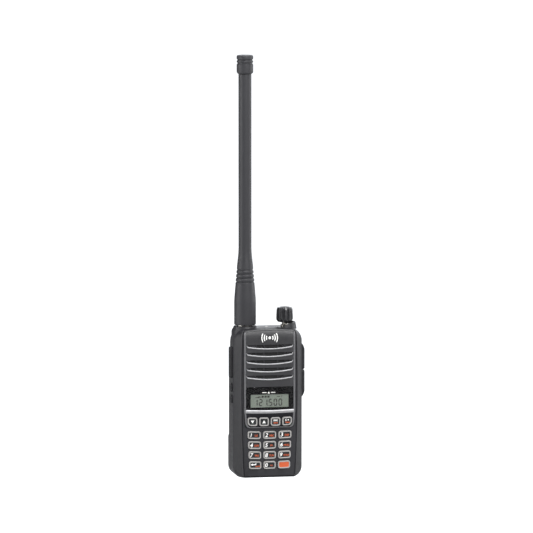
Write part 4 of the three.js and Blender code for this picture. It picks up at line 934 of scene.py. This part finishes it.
def add_display():
    """The pane, its printed mask with a bar mark, and the display's segments."""
    front, back = WINDOW_Y
    pane = loft("window_pane", [(front + 0.35, window_outline(0)), (front + 0.08, window_outline(0)),
                                (front, window_outline(0.12))])
    dress(pane, "body", PANE_LOOK, ["display_window"])
    opening = rounded_rect(LCD_WIDTH, LCD_HEIGHT, 0.35, (0, DISPLAY_Z), 3)
    mask = plate("window_mask", window_outline(0.02), (front + 0.38, back))
    carve(mask, plate("opening", opening, (front - 1, back + 1)))
    dress(mask, "body", MASK_BLACK)
    z = DISPLAY_Z + 6.3
    marks = [rounded_rect(3.2, 0.5, 0.1, (x, z), 2) for x in (-4.0, 2.6)]
    marks.append([(-1.5, z - 0.7), (0.1, z - 0.7), (-0.7, z + 0.8)])
    dress(badge("bar_mark", marks, front + 0.34, 0.1), "body", INK_WHITE)

    bars = []
    x = -10.4
    for character in "121.500":
        if character == ".":
            bars.append(rounded_rect(0.62, 0.7, 0.1, (x - DIGIT_PITCH / 2, DISPLAY_Z - 3.45), 2))
            continue
        bars += digit_bars(character, x, DISPLAY_Z - 1.2)
        x += DIGIT_PITCH
    z = DISPLAY_Z + 3.1
    for i in range(4):
        bars.append(rounded_rect(0.7, 0.5 + 0.35 * i, 0.1, (-10.6 + 1.1 * i, z - 0.7 + 0.17 * i), 2))
    bars += [rounded_rect(1.7, 1.5, 0.2, (-5.2 + 2.2 * i, z), 2) for i in range(3)]
    bars += [rounded_rect(2.6, 0.5, 0.1, (6.8, z), 2), rounded_rect(0.5, 1.3, 0.1, (9.2, z), 2)]
    dress(badge("display_segments", bars, LCD_Y[0] - 0.03, 0.06), "body", INK_DARK)


TRIM_SECTION = (  # how far behind the trim's front, and at which share of its height
    (0.6, 0), (0.34, 0.04), (0.24, 0.1), (0.1, 0.38), (0.03, 0.47), (0, 0.54), (0.02, 0.6), (0.1, 0.86),
    (0.2, 0.95), (0.45, 1),
)


def add_trim(steps=40):
    """The bright strip under the window, with a soft ridge and a slight upward curve."""
    height = TRIM_Z[1] - TRIM_Z[0]
    front, rear = TRIM_Y
    section = [(rear, 0)] + [(front + back, share) for back, share in TRIM_SECTION] + [(rear, 1)]
    sections = []
    for step in range(steps + 1):
        x = TRIM_X[0] + (TRIM_X[1] - TRIM_X[0]) * step / steps
        low = TRIM_Z[0] + SMILE * x * x
        sections.append((x, [(y, low + share * height) for y, share in section]))
    dress(soften(loft("trim_strip", sections, as_side), 0.08), "body", SILVER_LOOK, ["trim_bar"])


# -------- knob and antenna


def add_knob(lobes=12, per_lobe=14):
    """The fluted volume knob with a dished top."""
    radius = (KNOB_X[1] - KNOB_X[0]) / 2
    low, high = KNOB_Z
    axis = (KNOB_AXIS, TOP_Y)
    profile = [  # height, share of the radius, depth of the flutes
        (low, 0.80, 0.0), (low + 0.35, 0.87, 0.2), (low + 1.3, 0.96, 0.7), (low + 2.4, 1.0, 0.95),
        (low + 5.0, 0.985, 0.95), (high - 2.2, 0.955, 0.95), (high - 1.2, 0.93, 0.8), (high - 0.5, 0.88, 0.5),
        (high - 0.1, 0.80, 0.12), (high, 0.70, 0.0), (high - 0.12, 0.62, 0.0), (high - 0.7, 0.52, 0.0),
        (high - 0.85, 0.35, 0.0)]
    rings = []
    for z, share, depth in profile:
        ring = []
        for i in range(lobes * per_lobe):
            angle = 2 * math.pi * i / (lobes * per_lobe)
            r = radius * share - depth * max(0, -math.cos(lobes * angle)) ** 0.7
            ring.append((axis[0] + r * math.cos(angle), axis[1] + r * math.sin(angle)))
        rings.append((z, ring))
    knob = carve(loft("fluted_knob", rings, as_top), rod("skirt", as_top, 4.2, (low - 1, low + 1.4), axis),
                 rod("bore", as_top, 2.0, (low - 1, low + 7), axis))
    dress(soften(knob, 0.1, 40), "volume", KNOB_LOOK, ["volume_knob"])
    pointer = box("knob_pointer", (KNOB_AXIS - 0.3, KNOB_AXIS + 0.3), (TOP_Y - 5.3, TOP_Y - 3.4),
                  (high - 0.9, high - 0.05))
    dress(pointer, "volume", INK_WHITE)


WHIP = 4.8  # radius of the antenna's upper part
CORE_BORE = 1.5  # radius of the bore that the antenna's core fills
GRIP_PITCH = 3
GRIP_TAPER = 0.28  # each grip ring is this much narrower than the one under it
# The profiles give how far a point lies outside a part's radius, and how high over its foot.
BOOT_PROFILE = ((-0.45, 0), (-0.12, 0.35), (0, 1), (0, 9), (0, 17), (-0.12, 19.8), (-0.35, 22.5), (-0.7, 27),
                (-1.1, 31.6))
GRIP_PROFILE = ((-0.2, 0.2), (-0.45, 0.4), (-0.48, 0.65), (-0.4, 0.85), (-0.12, 1.0), (0, 1.25), (0.03, 1.9),
                (0, 2.5), (-0.08, 2.8))
NECK_PROFILE = ((-2.3, 0.25), (-2.42, 0.5), (-2.3, 0.8), (-1.98, 1.1), (-2.1, 3))
WHIP_PROFILE = ((0.85, 6.5), (0.42, 10), (0.14, 13.5), (0, 17), (0, 50), (0, 90))
CAP_GROOVE = ((-0.1, 0.15), (-0.55, 0.4), (-0.6, 0.6), (-0.6, 1.0), (-0.55, 1.2), (-0.1, 1.45), (0, 1.7))


def shifted(profile, radius, height):
    return [(radius + r, height + z) for r, z in profile]


def add_sleeve():
    """The rubber sleeve with its flared boot, three grip rings and long whip."""
    low, high = SLEEVE_Z
    boot = (SLEEVE_X[1] - SLEEVE_X[0]) / 2
    grip = low + BOOT_PROFILE[-1][1]
    outside = shifted(BOOT_PROFILE, boot, low)
    for i in range(3):
        outside += shifted(GRIP_PROFILE, boot - 1.2 - GRIP_TAPER * i, grip + GRIP_PITCH * i)
    neck = grip + 3 * GRIP_PITCH
    outside += shifted(NECK_PROFILE, boot, neck) + shifted(WHIP_PROFILE, WHIP, neck)
    plug_x, _, plug_z = span("antenna_plug")
    plug_radius = (plug_x[1] - plug_x[0]) / 2 + 0.1
    plug_top = plug_z[1] + 0.1
    outside += [(WHIP, high - 0.3), (WHIP - 0.2, high)]
    hollow = [(CORE_BORE, high), (CORE_BORE, plug_top), (plug_radius, plug_top), (plug_radius, low)]
    sleeve = revolve("antenna_skin", outside + hollow, (ANTENNA_X, TOP_Y), closed=True)
    dress(soften(sleeve, 0.1, 40), "antenna", WHIP_LOOK, ["antenna_sleeve"])


def add_antenna_tip():
    """The cap at the antenna's tip, with two grooves, and the disc that closes its bore."""
    r = (TIP_X[1] - TIP_X[0]) / 2
    low, high = TIP_Z
    profile = [(CORE_BORE, low), (WHIP + 0.2, low), (WHIP + 0.7, low + 0.35), (r - 0.25, low + 0.9),
               (r, low + 1.4), (r, high - 6.9)]
    profile += shifted(CAP_GROOVE, r, high - 6.8) + shifted(CAP_GROOVE, r, high - 4.3)
    profile += [(r, high - 1.1), (r - 0.12, high - 0.6), (r - 0.4, high - 0.22), (r - 0.9, high), (2.0, high),
                (0.6, high), (0.6, high - 5.8), (CORE_BORE, high - 5.8)]
    tip = revolve("antenna_cap", profile, (ANTENNA_X, TOP_Y), closed=True)
    dress(soften(tip, 0.06, 40), "antenna", WHIP_LOOK, ["antenna_tip"])
    disc = rod("antenna_cap_plug", as_top, 0.62, (high - 5.7, high - 0.02), (ANTENNA_X, TOP_Y), 24)
    dress(disc, "antenna", WHIP_LOOK)


# -------- side pieces


def cover_pad(name, x, y, z, tapers_down):
    """A rounded rubber pad on the right wall. The end that tapers slopes down to the wall."""
    profile = [(2.3, 0, 0), (1.6, 0, 0.4), (0.8, 0, 1.8), (0.36, 0.18, 2.7), (0.12, 0.5, 3.2), (0, 1, 3.8)]
    rings = []
    for depth, inset, slope in profile:
        low, high = (z[0] + slope, z[1]) if tapers_down else (z[0], z[1] - slope)
        outline = rounded_rect(y[1] - y[0] - 2 * inset, high - low - 2 * inset, max(1.5 - inset, 0.4),
                               (middle(y), (low + high) / 2), 8)
        rings.append((max(x[1] - depth, x[0]), outline))
    return loft(name, rings, as_side)


def add_side_keys():
    """The ribbed push-to-talk bar and the two smaller keys under it."""
    inner_wall = -HALF + WALL + FIT
    for node in ("ptt_button", "side_key_upper", "side_key_lower"):
        x, y, z = span(node)
        centre = (middle(y), middle(z))
        width, height = y[1] - y[0] - 0.8, z[1] - z[0] - 2.4
        rings = []
        for depth, inset in ((x[1], -0.3), (inner_wall, -0.3), (inner_wall, 0), (x[0] + 0.6, 0),
                             (x[0] + 0.25, 0.2), (x[0] + 0.08, 0.5), (x[0], 1.0)):
            corner = max(1.8 - inset, 0.4)
            rings.append((depth, rounded_rect(width - 2 * inset, height - 2 * inset, corner, centre, 8)))
        cap = loft(node + "_cap", rings, as_side)
        if node == "ptt_button":
            levels = [centre[1] + (i - 3.5) * 2.3 for i in range(8)]
            grooves = [rounded_rect(5.0, 1.0, 0.45, (centre[0], level), 4) for level in levels]
            carve(cap, *[plate("groove", groove, (x[0] - 1, x[0] + 0.45), as_side) for groove in grooves])
        else:
            dimple = rounded_rect(4.4, 2.2, 1.0, centre, 6)
            carve(cap, plate("dimple", dimple, (x[0] - 1, x[0] + 0.22), as_side))
        dress(soften(cap, 0.12), node, RUBBER_LOOK, [node])


def add_jack_covers():
    """The two rubber covers over the sockets, each with a sunken field, the lower one with finger ridges."""
    for node, body, tapers_down in (("jack_cover", "jack_flap", False), ("jack_cover_tab", "body", True)):
        x, y, z = span(node)
        cap = cover_pad(node + "_pad", x, y, z, tapers_down)
        low, high = (z[0] + 5.6, z[1] - 1.8) if tapers_down else (z[0] + 1.8, z[1] - 5.6)
        field = rounded_rect(y[1] - y[0] - 3.4, high - low, 1.0, (middle(y), (low + high) / 2), 6)
        carve(cap, plate("field", field, (x[1] - 0.22, x[1] + 1), as_side))
        dress(soften(cap, 0.14), body, RUBBER_LOOK, [node])
        if tapers_down:
            ridges = [rounded_rect(5.2, 0.7, 0.33, (middle(y), z[0] + 7 + 1.5 * i), 4) for i in range(4)]
            bars = [plate("ridge", ridge, (x[1] - 0.4, x[1] - 0.02), as_side) for ridge in ridges]
            dress(soften(merge("jack_cover_ridges", bars), 0.08), body, RUBBER_LOOK)


def add_battery_details():
    """A blank satin label on the battery's back, behind the clip, and its charging contacts at the foot."""
    back = span("battery_case")[1][1]
    label = plate("battery_label", rounded_rect(35, 40, 1.5, (0, 58), 6), (back - 0.1, back + 0.06))
    dress(soften(label, 0.03), "battery", LABEL_LOOK)
    outlines = [rounded_rect(4.2, 2.2, 0.5, (x, 5.2), 4) for x in (-10, 10)]
    pads = [plate("pad", outline, (back - 0.2, back + 0.05)) for outline in outlines]
    dress(soften(merge("battery_contacts", pads), 0.03), "battery", NICKEL_LOOK)


# -------- carried CAD nodes

CARRIED = (  # material, softening radius and nodes
    (CASING, 0.3, "battery_case clip_arm"),
    (CASING, 0.25, "rear_case clip_base"),
    (CASING, 0.15, "battery_plate"),
    (CASING, 0.08, "audio_jacks"),
    (KNOB_LOOK, 0.2, "battery_latch"),
    (NICKEL_LOOK, 0.12, "clip_pin"),
    (NICKEL_LOOK, 0.1, "contact_block rf_shield speaker_driver volume_switch volume_shaft"),
    (NICKEL_LOOK, 0.08, "case_screw_left case_screw_right antenna_jack antenna_plug"),
    (NICKEL_LOOK, 0.05, "microphone"),
    (NICKEL_LOOK, 0, "clip_spring antenna_core"),
    (CELL_LOOK, 0.4, "cell_left cell_right"),
    (LENS_LOOK, 0.1, "status_led"),
    (LENS_LOOK, 0, "lcd_backlight"),
    (LCD_LOOK, 0, "lcd_module"),
    (MESH_AND_SHADE_LOOK, 0, "speaker_mesh"),
    (CONE_LOOK, 0, "speaker_cone"),
    (RUBBER_LOOK, 0, "keypad_mat case_seal"),
    (BOARD_LOOK, 0, "key_board main_board side_switch_board"),
)


def carry(name, material, radius):
    """Keeps a CAD node, with a material and, where it shows, softened edges."""
    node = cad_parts[name]
    node.data.materials.clear()
    node.data.materials.append(material)
    weld = node.modifiers.new("weld", "WELD")
    weld.merge_threshold = 0.002 * MM
    flat = node.modifiers.new("flat faces", "DECIMATE")
    flat.decimate_type = "DISSOLVE"
    flat.angle_limit = math.radians(0.8)
    smooth(node)
    if radius:
        soften(node, radius)
    else:
        node.modifiers.new("even shading", "WEIGHTED_NORMAL")


# -------- studio


def add_camera():
    """A long lens, slightly left of the radio and slightly above its middle."""
    azimuth, elevation = math.radians(-10.5), math.radians(6.5)
    distance = 4.0  # m
    aim = Vector((0.9, 6.5, 156.5)) * MM
    towards = Vector((math.sin(azimuth) * math.cos(elevation), -math.cos(azimuth) * math.cos(elevation),
                      math.sin(elevation)))
    data = bpy.data.cameras.new("camera")
    data.sensor_width = 36
    data.lens = 363.4
    data.clip_end = 100
    camera = add_object("camera", data)
    camera.location = aim + distance * towards
    camera.rotation_euler = towards.to_track_quat("Z", "Y").to_euler()
    bpy.context.scene.camera = camera


SOFT_BOXES = (  # name, place and aim in metres, size in metres, power in watts
    ("left box", (-1.2, -0.1, 0.45), (0, 0, 0.2), (0.9, 1.1), 16),
    ("right box", (1.2, 0.15, 0.4), (0, 0, 0.12), (0.8, 1.2), 11),
    ("front box", (0.3, -1.0, 0.76), (0, 0, 0.1), (0.7, 0.6), 19),
    ("top box", (0.1, -0.25, 1.4), (0, 0, 0.08), (0.9, 0.6), 12),
)


def add_soft_boxes():
    for name, position, aim, size, watts in SOFT_BOXES:
        data = bpy.data.lights.new(name, "AREA")
        data.shape = "RECTANGLE"
        data.size, data.size_y = size
        data.energy = watts
        lamp = add_object(name, data)
        lamp.location = Vector(position)
        lamp.rotation_euler = (lamp.location - Vector(aim)).to_track_quat("Z", "Y").to_euler()


def camera_ray(tree):
    return place(tree, "LightPath").outputs["Is Camera Ray"]


def add_world():
    """A world that shows evenly white, and lights the radio mostly from behind and from the right."""
    world = bpy.data.worlds.new("studio")
    world.use_nodes = True
    tree = world.node_tree
    dim = tree.nodes["Background"]
    put(dim, "Color", (0.94, 0.96, 1, 1))
    direction = place(tree, "SeparateXYZ")
    feed(tree, place(tree, "TexCoord").outputs["Generated"], direction, "Vector")
    strength = place(tree, "Math")
    strength.operation = "MULTIPLY"
    feed(tree, fit(tree, direction.outputs["Y"], (0.3, 0.95), (0.16, 2.6)), strength, 0)
    feed(tree, fit(tree, direction.outputs["X"], (-0.2, 0.12), (0.1, 1)), strength, 1)
    feed(tree, strength.outputs["Value"], dim, "Strength")
    bright = place(tree, "Background")
    put(bright, "Color", (1, 1, 1, 1))
    seen = place(tree, "MixShader")
    feed(tree, camera_ray(tree), seen, "Fac")
    feed(tree, dim.outputs["Background"], seen, 1)
    feed(tree, bright.outputs["Background"], seen, 2)
    tree.links.new(seen.outputs["Shader"], tree.nodes["World Output"].inputs["Surface"])
    bpy.context.scene.world = world
    bpy.context.scene.view_settings.view_transform = "Standard"


def add_floor():
    """A pale floor that shows brighter than the light it throws back on the radio."""
    reach = 14000
    floor = box("floor", (-reach, reach), (-reach, reach), (FLOOR_Z - 10, FLOOR_Z))
    material, tree, shader = new_material("pale floor")
    tone = blend_colours(tree, noise(tree, 900, 2), (0.38, 0.38, 0.38), (0.42, 0.42, 0.42))
    feed(tree, tone, shader, "Base Color")
    put(shader, "Roughness", 0.9)
    put(shader, "Emission Color", (0.96, 0.98, 1, 1))
    feed(tree, fit(tree, camera_ray(tree), (0, 1), (0.1, 0.95)), shader, "Emission Strength")
    floor.data.materials.append(material)


# -------- build

add_camera()
add_soft_boxes()
add_world()
add_floor()
add_front_cover()
add_panel()
add_rims()
add_marks()
add_display()
add_trim()
add_keys()
add_knob()
add_sleeve()
add_antenna_tip()
add_side_keys()
add_jack_covers()
add_battery_details()
for look, edge, nodes in CARRIED:
    for carried in nodes.split():
        carry(carried, look, edge)
